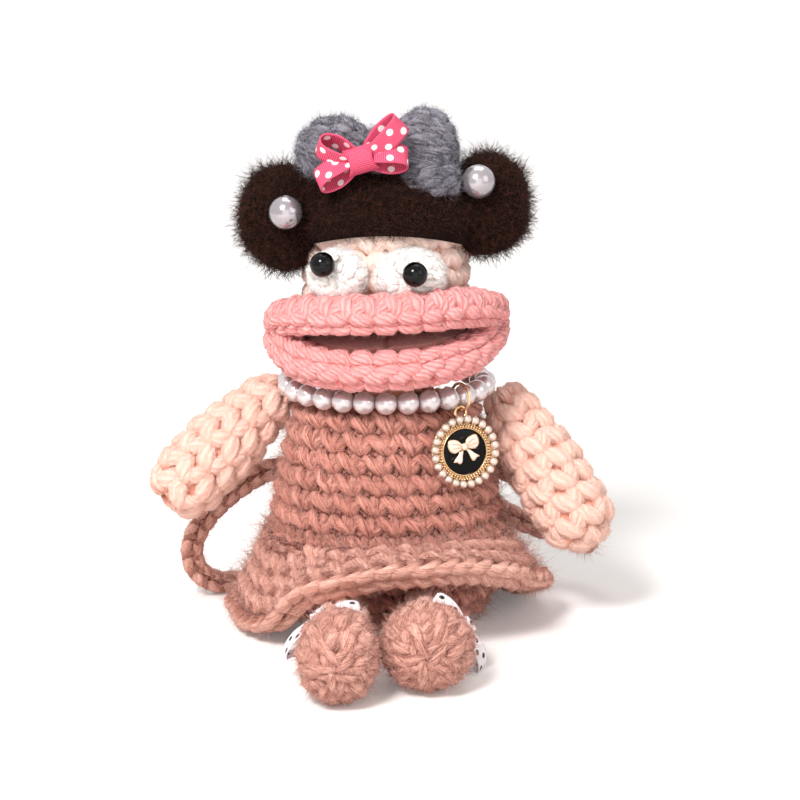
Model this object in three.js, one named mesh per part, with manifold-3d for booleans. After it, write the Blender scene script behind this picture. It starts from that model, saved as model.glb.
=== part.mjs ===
// Crocheted hand puppet, seated: a stuffed dress body, sewn limbs and a big-lipped head that opens and
// shuts like a mouth. Fingers go into a pocket in the upper head and the thumb into one in the jaw.
// Millimetres, +Z up. The doll faces -Y and its own left is +X. Origin: middle of the flat seat.
import * as THREE from "three";
import { mergeVertices } from "three/addons/utils/BufferGeometryUtils.js";
import Module from "manifold-3d";

const wasm = await Module();
wasm.setup();

// Gaps between sewn pieces, and between pieces that turn on each other
const seamGap = 0.3;
const turningGap = 0.45;

// Crochet fabric
const fabricWall = 4;

// Dress body: half widths from seat to neck, all drawn in by one ratio from front to back
const bodyDepthRatio = 0.82;
const seatHalfWidth = 31;
const hipHalfWidth = 38.5;
const hipHeight = 22;
const shoulderHalfWidth = 30;
const shoulderHeight = 70;
const chestHalfWidth = 33.5;
const chestDrop = 15;
const chestHeight = shoulderHeight - chestDrop;
const collarRise = 5;
const bodiceTop = shoulderHeight + collarRise;
const seatPanelThickness = 4;

// Skirt ruffle: a waved band worked out of the dress. Each row is a direction from the front, in degrees
// towards the doll's left, how far the hem stands out from the dress there, and its height at mid-thickness.
const ruffleThickness = 4.2;
const ruffleHeight = 30;
const ruffleRim = [
  [0, 15, 28], [24, 15.5, 28.5], [45, 15, 23], [62, 11, 16], [82, 13.5, 12], [105, 11, 8],
  [132, 14, 4], [156, 11, 3.4], [180, 14, 3], [205, 11, 3.2], [230, 14, 3.6], [255, 11, 4],
  [278, 10, 3.6], [298, 13, 2.9], [317, 14, 8], [335, 16, 22],
];

// Neck: a ball-ended plug between dress and jaw
const neckRadius = 9;
const neckRise = 2;
const neckHeight = shoulderHeight + neckRise;
const neckFootDrop = 7;
const neckBottom = neckHeight - neckFootDrop;
const neckFootRadius = 6;

// Mouth: hinged across the back of the head, with the gap measured between the lips at the front
const chinRise = 6;
const jawBottom = neckHeight + chinRise;
const jawTall = 16.6;
const hingeDepth = 14;
const hingeHeight = jawBottom + jawTall;
const mouthGap = 5.6;
const lipRadius = 5.6;
const lipReach = 34;
const cornerPower = 6;
const liningThickness = 2.2;
const liningCorner = 6;

// Jaw, with the heights of its sides and thumb pocket above its flat bottom
const jawBottomHalfWidth = 16;
const jawHalfWidth = 25.4;
const jawSideRise = 9;
const jawBackSlope = 38;
const thumbPocketWidth = 26;
const thumbPocketHeight = 6;
const thumbPocketRise = 5.6;
const thumbPocketEnd = -14;

// Upper head, with heights above the hinge
const headHalfWidth = 26;
const headDepthRatio = 0.96;
const headSideRise = 33.4;
const headSideTop = hingeHeight + headSideRise;
const headDome = 15;
const headTop = headSideTop + headDome;
const fingerPocketWidth = 42;
const fingerPocketRise = 18.4;
const fingerPocketTop = hingeHeight + fingerPocketRise;

// Eyes: stuffed white domes with black beads sewn on by a thread, each placed from the middle of its eye
const eyeCentreDepth = -24;
const eyeRise = 18.4;
const eyeCentreHeight = hingeHeight + eyeRise;
const rightEye = { x: -14.3, width: 19.2, height: 17.6, depth: 16.5 };
const leftEye = { x: 7.2, width: 22.4, height: 18.4, depth: 17 };
const beadRadius = 4;
const beadBore = 0.95;
const threadRadius = 0.5;
const rightBead = { across: -4.3, rise: 4.6, turn: -25 };
const leftBead = { across: 1.7, rise: 2.9, turn: 10 };
const beadSink = 1.2;

// Hair: a felted cap with a bun at each side, and a pearl on each bun. The hairline is measured from the
// hinge, a bun from the sides of the head, and a pearl from the middle of its bun.
const hairThickness = 5;
const hairlineFrontRise = 28.4;
const hairlineBackRise = 21.4;
const bunDepthRadius = 15;
const bunCentreDepth = -3;
const rightBun = { out: -5, rise: -0.2, halfWidth: 15.6, halfHeight: 17.3 };
const leftBun = { out: 5.4, rise: 3.4, halfWidth: 14.8, halfHeight: 18 };
const bunPearlRadius = 5.1;
const bunPearlSink = 2.4;
const rightBunPearl = { across: 1.1, rise: 3.6 };
const leftBunPearl = { across: -3.8, rise: 9 };

// Grey crocheted bow on the hair, with heights above the head top
const greyBowDepthRadius = 8.5;
const greyBowCentreDepth = -12;
const greyKnot = { x: -2.5, rise: 4, halfWidth: 5, halfHeight: 7 };
const rightGreyLoop = { x: -15.2, rise: 6, halfWidth: 12.2, halfHeight: 10.8, lean: 14 };
const leftGreyLoop = { x: 11.6, rise: 5.2, halfWidth: 10.6, halfHeight: 14, lean: 6 };

// Ribbon bows: loops of ribbon at each side, splayed and drooping by these angles, gripped by a wrapped knot
const ribbonSheet = 0.9;
const hairBow = { ribbon: 9.5, loop: 14.6, bulge: 4.2, splays: [26, -26], droop: 0, knot: 7.4, knotDepth: 6 };
const hairBowPlace = { x: -7.2, y: -26.4, rise: 4.6, lean: 13 };
const shoeBow = { ribbon: 6.6, loop: 12, bulge: 3.4, splays: [0], droop: 22, knot: 4.8, knotDepth: 4.4 };

// Pearl necklace
const pearlRadius = 3.5;
const pearlOverlap = 0.12;
const necklaceRise = 0.7;
const necklaceHeight = bodiceTop + necklaceRise;
const necklaceHalfWidth = 30.8;
const necklaceHalfDepth = 26.2;
const pearlsToPendant = 3.5;

// Pendant on its jump ring, in its own plane with the eyelet up
const jumpRingRadius = 4.1;
const jumpRingWire = 0.45;
const jumpRingShift = 1.6;
const jumpRingLean = 72;
const pendantPlateRadius = 10.3;
const pendantPlateThickness = 1.2;
const bezelRadius = 8.5;
const bezelHeight = 1.5;
const enamelRadius = 6.9;
const enamelThickness = 0.9;
const rimPearlRadius = 1.33;
const rimPearlCount = 24;
const eyeletRadius = 1.8;
const eyeletWire = 0.45;
const pendantTurn = 22;
const pendantLean = 9;
const pendantBowSize = 5.4;
const pendantBowThickness = 0.7;

// Arms: shoulder ball, swollen middle and hand end. Each arm has its shoulder's drop below the top of the
// dress sides, and its hand placed from the shoulder.
const armShoulderRadius = 9;
const armMiddleRadius = 12;
const armShoulderDepth = 5;
const rightArm = { drop: 3, handRadius: 11.8, reach: [-22, -13, -20.5] };
const leftArm = { drop: 7, handRadius: 12.2, reach: [18, -13, -27.5] };
const stuffingMouth = 3;

// Legs and shoes
const hipRadius = 9.6;
const legRadius = 9.2;
const legAxisHeight = 12.6;
const hipSink = 2.4;
const shoeSoleCut = 0.5;
const shoeOverlap = 6;
const rightLeg = { x: -13.4, shoeCentre: -81, shoeHalfWidth: 12, shoeHalfLength: 15, shoeHalfHeight: 14 };
const leftLeg = { x: 12, shoeCentre: -70.5, shoeHalfWidth: 14, shoeHalfLength: 14.5, shoeHalfHeight: 13.2 };
const rightShoeBow = { along: 14.6, round: -36, lean: 0 };
const leftShoeBow = { along: 14.2, round: 62, lean: 0 };

// Hand-hold loops: crocheted chain cord sewn to the back of the dress, routed by hand-chosen points
const strapRadius = 2.5;
const strapSteps = 24;
const rightStrapRoute = [
  [-30.2, 13.4, 45.2], [-35.2, 15.8, 44.2], [-39.1, 17.2, 42.8], [-42.8, 18, 40.8], [-46.4, 18.4, 38.4],
  [-49.9, 18.5, 35.8], [-53.2, 18.3, 33], [-56.3, 18.1, 30], [-59.1, 17.8, 26.7], [-61.4, 17.6, 23.1],
  [-63, 17.6, 19.1], [-63.4, 17.9, 14.9], [-62.5, 18.8, 10.8], [-60.3, 20.2, 7.3], [-57.2, 22, 4.9],
  [-53.6, 24, 3.7], [-49.8, 26, 3.4], [-45.6, 27.5, 3.6],
];
const leftStrapRoute = [
  [31.2, 11.6, 46.9], [36.8, 14.3, 44.8], [41.1, 15.5, 42.2], [45.1, 15.7, 38.9], [48.9, 15.2, 35.4],
  [52.5, 14.5, 31.7], [56.1, 14, 28], [59.7, 14.3, 24.4], [63, 16.4, 21.1], [65.2, 20.4, 18.6],
  [65.4, 25.3, 17.1], [63.6, 30.1, 16.6], [60.1, 33.9, 16.8], [55.5, 36.2, 17.6], [50.6, 37.1, 18.9],
  [45.8, 37.1, 20.7], [41.2, 36.4, 23], [36.9, 35, 25.6], [33.1, 33, 28.4], [29.5, 30.6, 31.3],
  [25.9, 27.9, 34], [21.4, 24.5, 37],
];

// Faceting
const bodySides = 24;
const limbSides = 14;
const smallSides = 12;
const arcSteps = 3;

const upAxis = new THREE.Vector3(0, 0, 1);
const degrees = THREE.MathUtils.degToRad;

// Colours, as sRGB, with a roughness for each finish
const finish = (color, roughness, metalness = 0) => ({ color, roughness, metalness });
const skinYarn = finish(0xf6cdb8, 0.95);
const lipYarn = finish(0xf29a9f, 0.95);
const dressYarn = finish(0xc98478, 1);
const liningCloth = finish(0x6d4a48, 1);
const whiteYarn = finish(0xf6f2f0, 0.95);
const hairWool = finish(0x2c1713, 1);
const greyYarn = finish(0x77777f, 1);
const pinkRibbon = finish(0xe0466f, 0.6);
const dottedRibbon = finish(0xeee8ea, 0.5);
const pearlPlastic = finish(0xe9e2e4, 0.2);
const blackPlastic = finish(0x0a0a0b, 0.12);
const goldMetal = finish(0xd9a45c, 0.25, 1);
const blackEnamel = finish(0x0c0c0d, 0.15);
const whiteEnamel = finish(0xf3e6da, 0.25);
const sewingThread = finish(0xf4f2ee, 0.7);
const fibreFill = finish(0xf7f6f2, 1);

// A closed three.js geometry as a solid, and back
function solid(geometry) {
  const loose = geometry.index ? geometry.toNonIndexed() : geometry.clone();
  loose.deleteAttribute("normal");
  loose.deleteAttribute("uv");
  const merged = mergeVertices(loose, 1e-4);
  return new wasm.Manifold(
    new wasm.Mesh({
      numProp: 3,
      vertProperties: merged.attributes.position.array,
      triVerts: new Uint32Array(merged.index.array),
    }),
  );
}

function geometryOf(body) {
  const mesh = body.getMesh();
  const geometry = new THREE.BufferGeometry();
  geometry.setAttribute("position", new THREE.BufferAttribute(new Float32Array(mesh.vertProperties), 3));
  geometry.setIndex(new THREE.BufferAttribute(new Uint32Array(mesh.triVerts), 1));
  return geometry;
}

function cut(geometry, ...tools) {
  return geometryOf(tools.reduce((body, tool) => body.subtract(solid(tool)), solid(geometry)));
}

function join(...geometries) {
  return geometryOf(geometries.map(solid).reduce((body, other) => body.add(other)));
}

function common(geometry, other) {
  return geometryOf(solid(geometry).intersect(solid(other)));
}

// A round form turned about +Z from [radius, height] points, bottom first, with its depth drawn in by a ratio
function turned(outline, sides, depthRatio = 1) {
  const points = outline.map(([radius, height]) => new THREE.Vector2(radius, height));
  return new THREE.LatheGeometry(points, sides).rotateX(Math.PI / 2).scale(1, depthRatio, 1);
}

// Points on a smooth curve through a few [radius, height] points
function smooth(outline, steps) {
  const curve = new THREE.SplineCurve(outline.map(([radius, height]) => new THREE.Vector2(radius, height)));
  return curve.getPoints(steps).map((point) => [Math.max(point.x, 0), point.y]);
}

// Points on an arc in an outline, with angles in degrees from the horizontal
function arc(centreHeight, radius, from, to, steps = arcSteps) {
  return Array.from({ length: steps + 1 }, (_, i) => {
    const turn = from + ((to - from) * i) / steps;
    const onAxis = Math.abs(Math.abs(turn) - 90) < 1e-9;
    const across = onAxis ? 0 : radius * Math.cos(degrees(turn));
    return [across, centreHeight + radius * Math.sin(degrees(turn))];
  });
}

function ball(radius, x, y, z, sides = smallSides) {
  const sphere = new THREE.SphereGeometry(radius, sides, Math.round(sides / 2));
  return sphere.rotateX(Math.PI / 2).translate(x, y, z);
}

// A stuffed egg with three half sizes, leaning about the front-to-back axis by degrees
function egg(halfSizes, lean, centre, sides = smallSides, grow = 0) {
  return new THREE.SphereGeometry(1, sides, Math.round(sides * 0.6))
    .rotateX(Math.PI / 2)
    .scale(...halfSizes.map((size) => size + grow))
    .rotateY(degrees(lean))
    .translate(...centre);
}

function box(low, high) {
  const size = high.map((value, i) => value - low[i]);
  const middle = high.map((value, i) => (value + low[i]) / 2);
  return new THREE.BoxGeometry(...size).translate(...middle);
}

const farAway = 200;

// Dress body

function bodiceOutline(inset) {
  return smooth(
    [
      [seatHalfWidth - inset, 0],
      [hipHalfWidth - inset, hipHeight],
      [chestHalfWidth - inset, chestHeight],
      [shoulderHalfWidth - inset, shoulderHeight - inset / 2],
    ],
    8,
  );
}

// Half width of the dress at a height, on its outside
function bodiceHalfWidth(height) {
  const outline = bodiceOutline(0);
  const above = outline.findIndex(([, z]) => z >= height);
  if (above <= 0) return outline[above < 0 ? outline.length - 1 : 0][0];
  const [r0, z0] = outline[above - 1];
  const [r1, z1] = outline[above];
  return r0 + ((r1 - r0) * (height - z0)) / (z1 - z0);
}

const neckHoleRadius = (neckRadius + turningGap) / bodyDepthRatio;

// Limb ends: where the shoulder and hip balls sit against the dress
function shoulderPlace(arm, side) {
  const height = shoulderHeight - arm.drop;
  const halfWidth = bodiceHalfWidth(height);
  const surface = halfWidth * Math.sqrt(1 - (armShoulderDepth / (halfWidth * bodyDepthRatio)) ** 2);
  return [side * (surface + armShoulderRadius + seamGap), armShoulderDepth, height];
}

function hipPlace(leg) {
  const halfWidth = bodiceHalfWidth(legAxisHeight);
  const surface = halfWidth * bodyDepthRatio * Math.sqrt(1 - (leg.x / halfWidth) ** 2);
  return [leg.x, -(surface + hipRadius - hipSink), legAxisHeight];
}

const rightHip = hipPlace(rightLeg);
const leftHip = hipPlace(leftLeg);
const rightShoulder = shoulderPlace(rightArm, -1);
const leftShoulder = shoulderPlace(leftArm, 1);

function dressBodice() {
  const outer = [...bodiceOutline(0), [neckHoleRadius, bodiceTop]];
  const inner = [...bodiceOutline(fabricWall), [neckHoleRadius, bodiceTop - fabricWall]].reverse();
  const shell = turned([...outer, ...inner, outer[0]], bodySides, bodyDepthRatio);
  const hipSeat = hipRadius + turningGap;
  const armSeat = armShoulderRadius + seamGap;
  return cut(
    shell,
    ball(hipSeat, ...rightHip, bodySides),
    ball(hipSeat, ...leftHip, bodySides),
    ball(armSeat, ...rightShoulder, bodySides),
    ball(armSeat, ...leftShoulder, bodySides),
  );
}

function seatPanel() {
  const radius = seatHalfWidth - fabricWall - seamGap;
  const outline = [[0, 0], [radius, 0], [radius, seatPanelThickness], [0, seatPanelThickness]];
  return turned(outline, bodySides, bodyDepthRatio);
}

function bodyStuffing() {
  const low = seatPanelThickness + seamGap;
  const high = neckBottom - seamGap;
  const outline = [[0, 0], ...bodiceOutline(fabricWall + seamGap), [0, shoulderHeight]];
  const form = turned(outline, bodySides, bodyDepthRatio);
  return common(form, box([-farAway, -farAway, low], [farAway, farAway, high]));
}

// The ruffle runs from the dress out to its waved rim, as a sheet of even thickness
function skirtRuffle() {
  const around = 52;
  const across = 3;
  const rows = [];
  const first = ruffleRim[0];
  const closing = [first[0] + 360, first[1], first[2]];
  const rim = new THREE.CatmullRomCurve3([...ruffleRim, closing].map((row) => new THREE.Vector3(...row)));
  const innerHalfWidth = bodiceHalfWidth(ruffleHeight - ruffleThickness / 2) + seamGap;
  for (let i = 0; i < around; i += 1) {
    const at = rim.getPoint(i / around);
    const angle = degrees(at.x);
    const inner = new THREE.Vector3(
      innerHalfWidth * Math.sin(angle),
      -innerHalfWidth * bodyDepthRatio * Math.cos(angle),
      ruffleHeight,
    );
    const outward = new THREE.Vector3(Math.sin(angle), -Math.cos(angle), 0);
    const row = [];
    for (let j = 0; j <= across; j += 1) {
      const share = j / across;
      const point = inner.clone().addScaledVector(outward, at.y * share);
      point.z = THREE.MathUtils.lerp(ruffleHeight, at.z, share * share * 0.55 + share * 0.45);
      row.push(point);
    }
    rows.push(row);
  }
  return sheetRing(rows, ruffleThickness);
}

// A closed sheet of even thickness over a ring of rows of points; each row runs outwards
function sheetRing(rows, thickness) {
  const count = rows.length;
  const width = rows[0].length;
  const positions = [];
  for (const side of [1, -1]) {
    rows.forEach((row, i) => {
      const next = rows[(i + 1) % count];
      const last = rows[(i + count - 1) % count];
      row.forEach((point, j) => {
        const along = next[j].clone().sub(last[j]);
        const over = row[Math.min(j + 1, width - 1)].clone().sub(row[Math.max(j - 1, 0)]);
        const normal = over.cross(along).normalize();
        if (j === 0) normal.set(0, 0, 1);
        positions.push(...point.clone().addScaledVector(normal, (side * thickness) / 2).toArray());
      });
    });
  }
  const bottom = count * width;
  const index = [];
  for (let i = 0; i < count; i += 1) {
    const a = i * width;
    const b = ((i + 1) % count) * width;
    for (let j = 0; j + 1 < width; j += 1) {
      index.push(a + j, a + j + 1, b + j, b + j, a + j + 1, b + j + 1);
      index.push(bottom + a + j, bottom + b + j, bottom + a + j + 1);
      index.push(bottom + b + j, bottom + b + j + 1, bottom + a + j + 1);
    }
    const edge = width - 1;
    index.push(a, b, bottom + a, b, bottom + b, bottom + a);
    index.push(a + edge, bottom + a + edge, b + edge, b + edge, bottom + a + edge, bottom + b + edge);
  }
  const geometry = new THREE.BufferGeometry();
  geometry.setAttribute("position", new THREE.Float32BufferAttribute(positions, 3));
  geometry.setIndex(index);
  return geometry;
}

// Neck and head

function neckPlug() {
  const foot = [[0, neckBottom], [neckFootRadius, neckBottom]];
  return turned([...foot, ...arc(neckHeight, neckRadius, -40, 90, 7)], limbSides);
}

// The mouth frames: origin on the hinge, tilted up for the head and down for the jaw
const lipHalfWidth = headHalfWidth + seamGap + lipRadius;
const halfMouthAngle = Math.asin(mouthGap / 2 / (hingeDepth + lipReach));

function placeInMouth(geometry, direction) {
  return geometry.rotateX(-direction * halfMouthAngle).translate(0, hingeDepth, hingeHeight);
}

// Everything on the far side of a mouth plane that stands off from the hinge by some height
function beyondMouth(direction, height) {
  const slab = direction > 0
    ? box([-farAway, -farAway, -farAway], [farAway, farAway, height])
    : box([-farAway, -farAway, -height], [farAway, farAway, farAway]);
  return placeInMouth(slab, direction);
}

// A lip is a round roll bent round the front of the mouth; it dips through the mouth plane at both corners
function lip(direction) {
  const steps = 22;
  const points = Array.from({ length: steps + 1 }, (_, i) => {
    const turn = -Math.PI / 2 + (Math.PI * i) / steps;
    const rise = lipRadius * Math.sqrt(1 - Math.abs(Math.sin(turn)) ** cornerPower);
    return new THREE.Vector3(
      lipHalfWidth * Math.sin(turn),
      -lipReach * Math.cos(turn) - hingeDepth,
      direction * rise,
    );
  });
  const section = new THREE.Shape().absarc(0, 0, lipRadius, 0, 2 * Math.PI);
  const roll = new THREE.ExtrudeGeometry(section, {
    steps,
    curveSegments: 6,
    extrudePath: new THREE.CatmullRomCurve3(points),
  });
  return cut(placeInMouth(roll, direction), beyondMouth(direction, 0));
}

// A lining covers the mouth from the hinge to the lip
function lining(direction) {
  const halfWidth = lipHalfWidth - lipRadius - seamGap;
  const reach = lipReach - lipRadius - seamGap;
  const outline = new THREE.Shape();
  outline.moveTo(halfWidth, 0);
  outline.absellipse(0, 0, halfWidth, reach, 0, -Math.PI, true);
  outline.lineTo(-halfWidth + liningCorner, hingeDepth - turningGap);
  outline.lineTo(halfWidth - liningCorner, hingeDepth - turningGap);
  const plate = new THREE.ExtrudeGeometry(outline, {
    depth: liningThickness,
    bevelEnabled: false,
    curveSegments: 18,
  });
  plate.translate(0, -hingeDepth, direction > 0 ? 0 : -liningThickness);
  return placeInMouth(plate, direction);
}

function jawShell() {
  const jawDepthRatio = (lipReach - lipRadius - seamGap) / (lipHalfWidth - lipRadius - seamGap);
  const form = turned(
    [[0, jawBottom], [jawBottomHalfWidth, jawBottom], [jawHalfWidth, jawBottom + jawSideRise],
      [jawHalfWidth, hingeHeight], [0, hingeHeight]],
    bodySides,
    jawDepthRatio,
  );
  const backWedge = box([-farAway, 0, 0], [farAway, farAway, farAway]);
  backWedge.rotateX(-degrees(jawBackSlope)).translate(0, hingeDepth, hingeHeight);
  const pocketFloor = jawBottom + thumbPocketRise;
  const pocket = box(
    [-thumbPocketWidth / 2, thumbPocketEnd, pocketFloor],
    [thumbPocketWidth / 2, farAway, pocketFloor + thumbPocketHeight],
  );
  return cut(
    form,
    beyondMouth(-1, liningThickness + seamGap),
    backWedge,
    pocket,
    ball(neckRadius + turningGap, 0, 0, neckHeight, limbSides),
  );
}

function headOutline(grow, bottom) {
  const radius = headHalfWidth + grow;
  const crown = headTop + grow;
  const steps = 5;
  const dome = Array.from({ length: steps + 1 }, (_, i) => {
    const angle = (Math.PI / 2) * (i / steps);
    const across = i === steps ? 0 : radius * Math.cos(angle);
    return [across, headSideTop + (crown - headSideTop) * Math.sin(angle)];
  });
  return [[0, bottom], [radius, bottom], ...dome];
}

function headForm(grow, bottom = hingeHeight) {
  return turned(headOutline(grow, bottom), bodySides, headDepthRatio);
}

function headShell() {
  const pocketDoor = box(
    [-fingerPocketWidth / 2, 0, jawBottom],
    [fingerPocketWidth / 2, farAway, fingerPocketTop],
  );
  return cut(
    headForm(0),
    headForm(-fabricWall, jawBottom),
    beyondMouth(1, liningThickness + seamGap),
    pocketDoor,
  );
}

function headStuffing() {
  return headForm(-fabricWall - seamGap, fingerPocketTop);
}

// Eyes

function eyePlace(eye) {
  return [eye.x, eyeCentreDepth, eyeCentreHeight];
}

function eyeHalfSizes(eye) {
  return [eye.width / 2, eye.depth / 2, eye.height / 2];
}

// A bead rests on the front of its eye, a little sunk
function beadPlace(bead, eye) {
  const [halfWidth, halfDepth, halfHeight] = eyeHalfSizes(eye);
  const off = (bead.across / halfWidth) ** 2 + (bead.rise / halfHeight) ** 2;
  const depth = eyeCentreDepth - halfDepth * Math.sqrt(1 - off) - beadRadius + beadSink;
  return [eye.x + bead.across, depth, eyeCentreHeight + bead.rise];
}

function eyeWhite(eye, bead) {
  const lipForm = lipHollow();
  return cut(
    egg(eyeHalfSizes(eye), 0, eyePlace(eye)),
    headForm(seamGap),
    lipForm,
    ball(beadRadius + seamGap, ...beadPlace(bead, eye)),
  );
}

// The room that the upper lip takes, with a seam gap all round
function lipHollow() {
  const halfWidth = lipHalfWidth + lipRadius + seamGap;
  const reach = lipReach + lipRadius + seamGap;
  const top = 2 * lipRadius + seamGap;
  const outline = [[0, -top], [halfWidth, -top], [halfWidth, top], [0, top]];
  const room = turned(outline, bodySides, reach / halfWidth);
  return placeInMouth(room.translate(0, -hingeDepth, 0), 1);
}

// Beads are bored for their thread, which shows at both ends of the bore
function pupilBead(bead, eye) {
  const tilt = Math.asin(beadBore / beadRadius);
  const side = THREE.MathUtils.radToDeg(Math.PI / 2 - tilt);
  const outline = arc(0, beadRadius, -side, side, 9);
  const bead3d = turned([...outline, outline[0]], smallSides);
  return bead3d.rotateY(Math.PI / 2 + degrees(bead.turn)).translate(...beadPlace(bead, eye));
}

function pupilThread(bead, eye) {
  const half = Math.sqrt(beadRadius ** 2 - beadBore ** 2);
  const thread = turned([[0, -half], [threadRadius, -half], [threadRadius, half], [0, half]], 8);
  return thread.rotateY(Math.PI / 2 + degrees(bead.turn)).translate(...beadPlace(bead, eye));
}

// Hair and its trims

function hairForm(grow = 0) {
  return headForm(seamGap + hairThickness + grow);
}

function belowHairline() {
  const depth = 2 * headHalfWidth * headDepthRatio;
  const slope = Math.atan((hairlineFrontRise - hairlineBackRise) / depth);
  const slab = box([-farAway, -farAway, -farAway], [farAway, farAway, 0]);
  return slab.rotateX(-slope).translate(0, 0, hingeHeight + (hairlineFrontRise + hairlineBackRise) / 2);
}

function bunHalfSizes(bun) {
  return [bun.halfWidth, bunDepthRadius, bun.halfHeight];
}

function bunPlace(bun) {
  return [Math.sign(bun.out) * headHalfWidth + bun.out, bunCentreDepth, headSideTop + bun.rise];
}

function bunPearlPlace(pearl, bun) {
  const off = (pearl.across / bun.halfWidth) ** 2 + (pearl.rise / bun.halfHeight) ** 2;
  const [x, y, z] = bunPlace(bun);
  const depth = y - bunDepthRadius * Math.sqrt(1 - off) - bunPearlRadius + bunPearlSink;
  return [x + pearl.across, depth, z + pearl.rise];
}

function bunPearl(pearl, bun, grow = 0) {
  return ball(bunPearlRadius + grow, ...bunPearlPlace(pearl, bun));
}

function hairCap() {
  return cut(
    hairForm(),
    headForm(seamGap, jawBottom),
    belowHairline(),
    bunPearl(rightBunPearl, rightBun, seamGap),
    bunPearl(leftBunPearl, leftBun, seamGap),
  );
}

function hairBun(bun, pearl) {
  return cut(
    egg(bunHalfSizes(bun), 0, bunPlace(bun)),
    hairForm(seamGap),
    bunPearl(pearl, bun, seamGap),
  );
}

function greyEgg(loop, grow = 0) {
  const halfSizes = [loop.halfWidth, greyBowDepthRadius, loop.halfHeight];
  return egg(halfSizes, loop.lean ?? 0, [loop.x, greyBowCentreDepth, headTop + loop.rise], smallSides, grow);
}

function greyLoop(loop) {
  return cut(greyEgg(loop), hairForm(seamGap), greyEgg(greyKnot, seamGap));
}

function greyKnotPiece() {
  return cut(greyEgg(greyKnot), hairForm(seamGap));
}

// Ribbon bows lie in their own XZ plane, with their knot at the origin and their face towards -Y

function ribbonLoop(bow, tilt) {
  const half = bow.bulge / 2;
  const across = [[0, -half * 0.5], [bow.loop * 0.5, -half], [bow.loop * 0.85, -half]];
  const back = across.map(([x, y]) => [x, -y]).reverse();
  const points = [...across, [bow.loop, 0], ...back];
  const drop = new THREE.SplineCurve(points.map(([x, y]) => new THREE.Vector2(x, y)));
  const steps = 10;
  const outside = drop.getPoints(steps);
  const outline = new THREE.Shape(outside);
  const inside = outside.map((point, i) => {
    const along = drop.getTangent(i / steps);
    return new THREE.Vector2(point.x - along.y * ribbonSheet, point.y + along.x * ribbonSheet);
  });
  outline.holes.push(new THREE.Path(inside.filter((point) => point.x >= bow.knot / 2)));
  const loop = new THREE.ExtrudeGeometry(outline, { depth: bow.ribbon, bevelEnabled: false });
  return loop.translate(0, 0, -bow.ribbon / 2).rotateY(degrees(-tilt));
}

function bowKnotForm(bow, grow = 0) {
  const halfSizes = [bow.knot / 2, bow.knotDepth / 2, bow.ribbon * 0.46];
  return egg(halfSizes, 0, [0, 0, 0], smallSides, grow);
}

function bowSide(bow, side) {
  const loops = join(...bow.splays.map((splay) => ribbonLoop(bow, splay))).rotateZ(degrees(side * bow.droop));
  const otherSide = box([-farAway, -farAway, -farAway], [seamGap / 2, farAway, farAway]);
  const trimmed = cut(loops, bowKnotForm(bow, seamGap), otherSide);
  return side < 0 ? trimmed.rotateZ(Math.PI) : trimmed;
}

function onHair(geometry) {
  const { x, y, rise, lean } = hairBowPlace;
  return geometry.rotateY(degrees(-lean)).translate(x, y, headTop + rise);
}

// Necklace and pendant

const strandStart = -Math.PI / 2;
const strand = new THREE.EllipseCurve(
  0, 0, necklaceHalfWidth, necklaceHalfDepth, strandStart, strandStart + 2 * Math.PI,
);
const pearlCount = Math.ceil(strand.getLength() / (2 * pearlRadius - pearlOverlap));

// A pearl with its poles along the strand, so that it meets its neighbours there
function threadedPearl(radius, along, place, sides, rings) {
  const aim = new THREE.Quaternion().setFromUnitVectors(new THREE.Vector3(0, 1, 0), along);
  return new THREE.SphereGeometry(radius, sides, rings).applyQuaternion(aim).translate(...place);
}

function pearlNecklace() {
  const pearls = Array.from({ length: pearlCount }, (_, i) => {
    const at = strand.getPointAt(i / pearlCount);
    const along = strand.getTangentAt(i / pearlCount);
    const place = [at.x, at.y, necklaceHeight];
    return threadedPearl(pearlRadius, new THREE.Vector3(along.x, along.y, 0), place, 7, 5);
  });
  return join(...pearls);
}

// The jump ring goes round the strand between two pearls and leans out from the dress
const ringAt = strand.getPointAt(pearlsToPendant / pearlCount);
const ringAlong = strand.getTangentAt(pearlsToPendant / pearlCount);
const strandPoint = new THREE.Vector3(ringAt.x, ringAt.y, necklaceHeight);
const strandAxis = new THREE.Vector3(ringAlong.x, ringAlong.y, 0);
const strandOutward = new THREE.Vector3(ringAlong.y, -ringAlong.x, 0);
const ringCentre = strandPoint
  .clone()
  .addScaledVector(strandOutward, jumpRingShift * Math.sin(degrees(jumpRingLean)))
  .addScaledVector(upAxis, -jumpRingShift * Math.cos(degrees(jumpRingLean)));
const ringLow = ringCentre.clone().addScaledVector(upAxis, -jumpRingRadius);

function jumpRing() {
  const aim = new THREE.Quaternion().setFromUnitVectors(upAxis, strandAxis);
  const wire = new THREE.TorusGeometry(jumpRingRadius, jumpRingWire, 6, 20);
  return wire.applyQuaternion(aim).translate(...ringCentre);
}

// Pendant pieces are turned about +Z, then stood up to face -Y with the plate's back at y = 0
const eyeletHeight = pendantPlateRadius + eyeletRadius - eyeletWire / 2;
const eyeletAbove = jumpRingWire + eyeletWire + seamGap / 2;

function hangPendant(geometry) {
  const drop = eyeletAbove - eyeletRadius - eyeletHeight;
  return geometry
    .rotateX(Math.PI / 2)
    .translate(0, pendantPlateThickness / 2, drop)
    .rotateX(-degrees(pendantLean))
    .rotateZ(degrees(pendantTurn))
    .translate(...ringLow);
}

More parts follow.
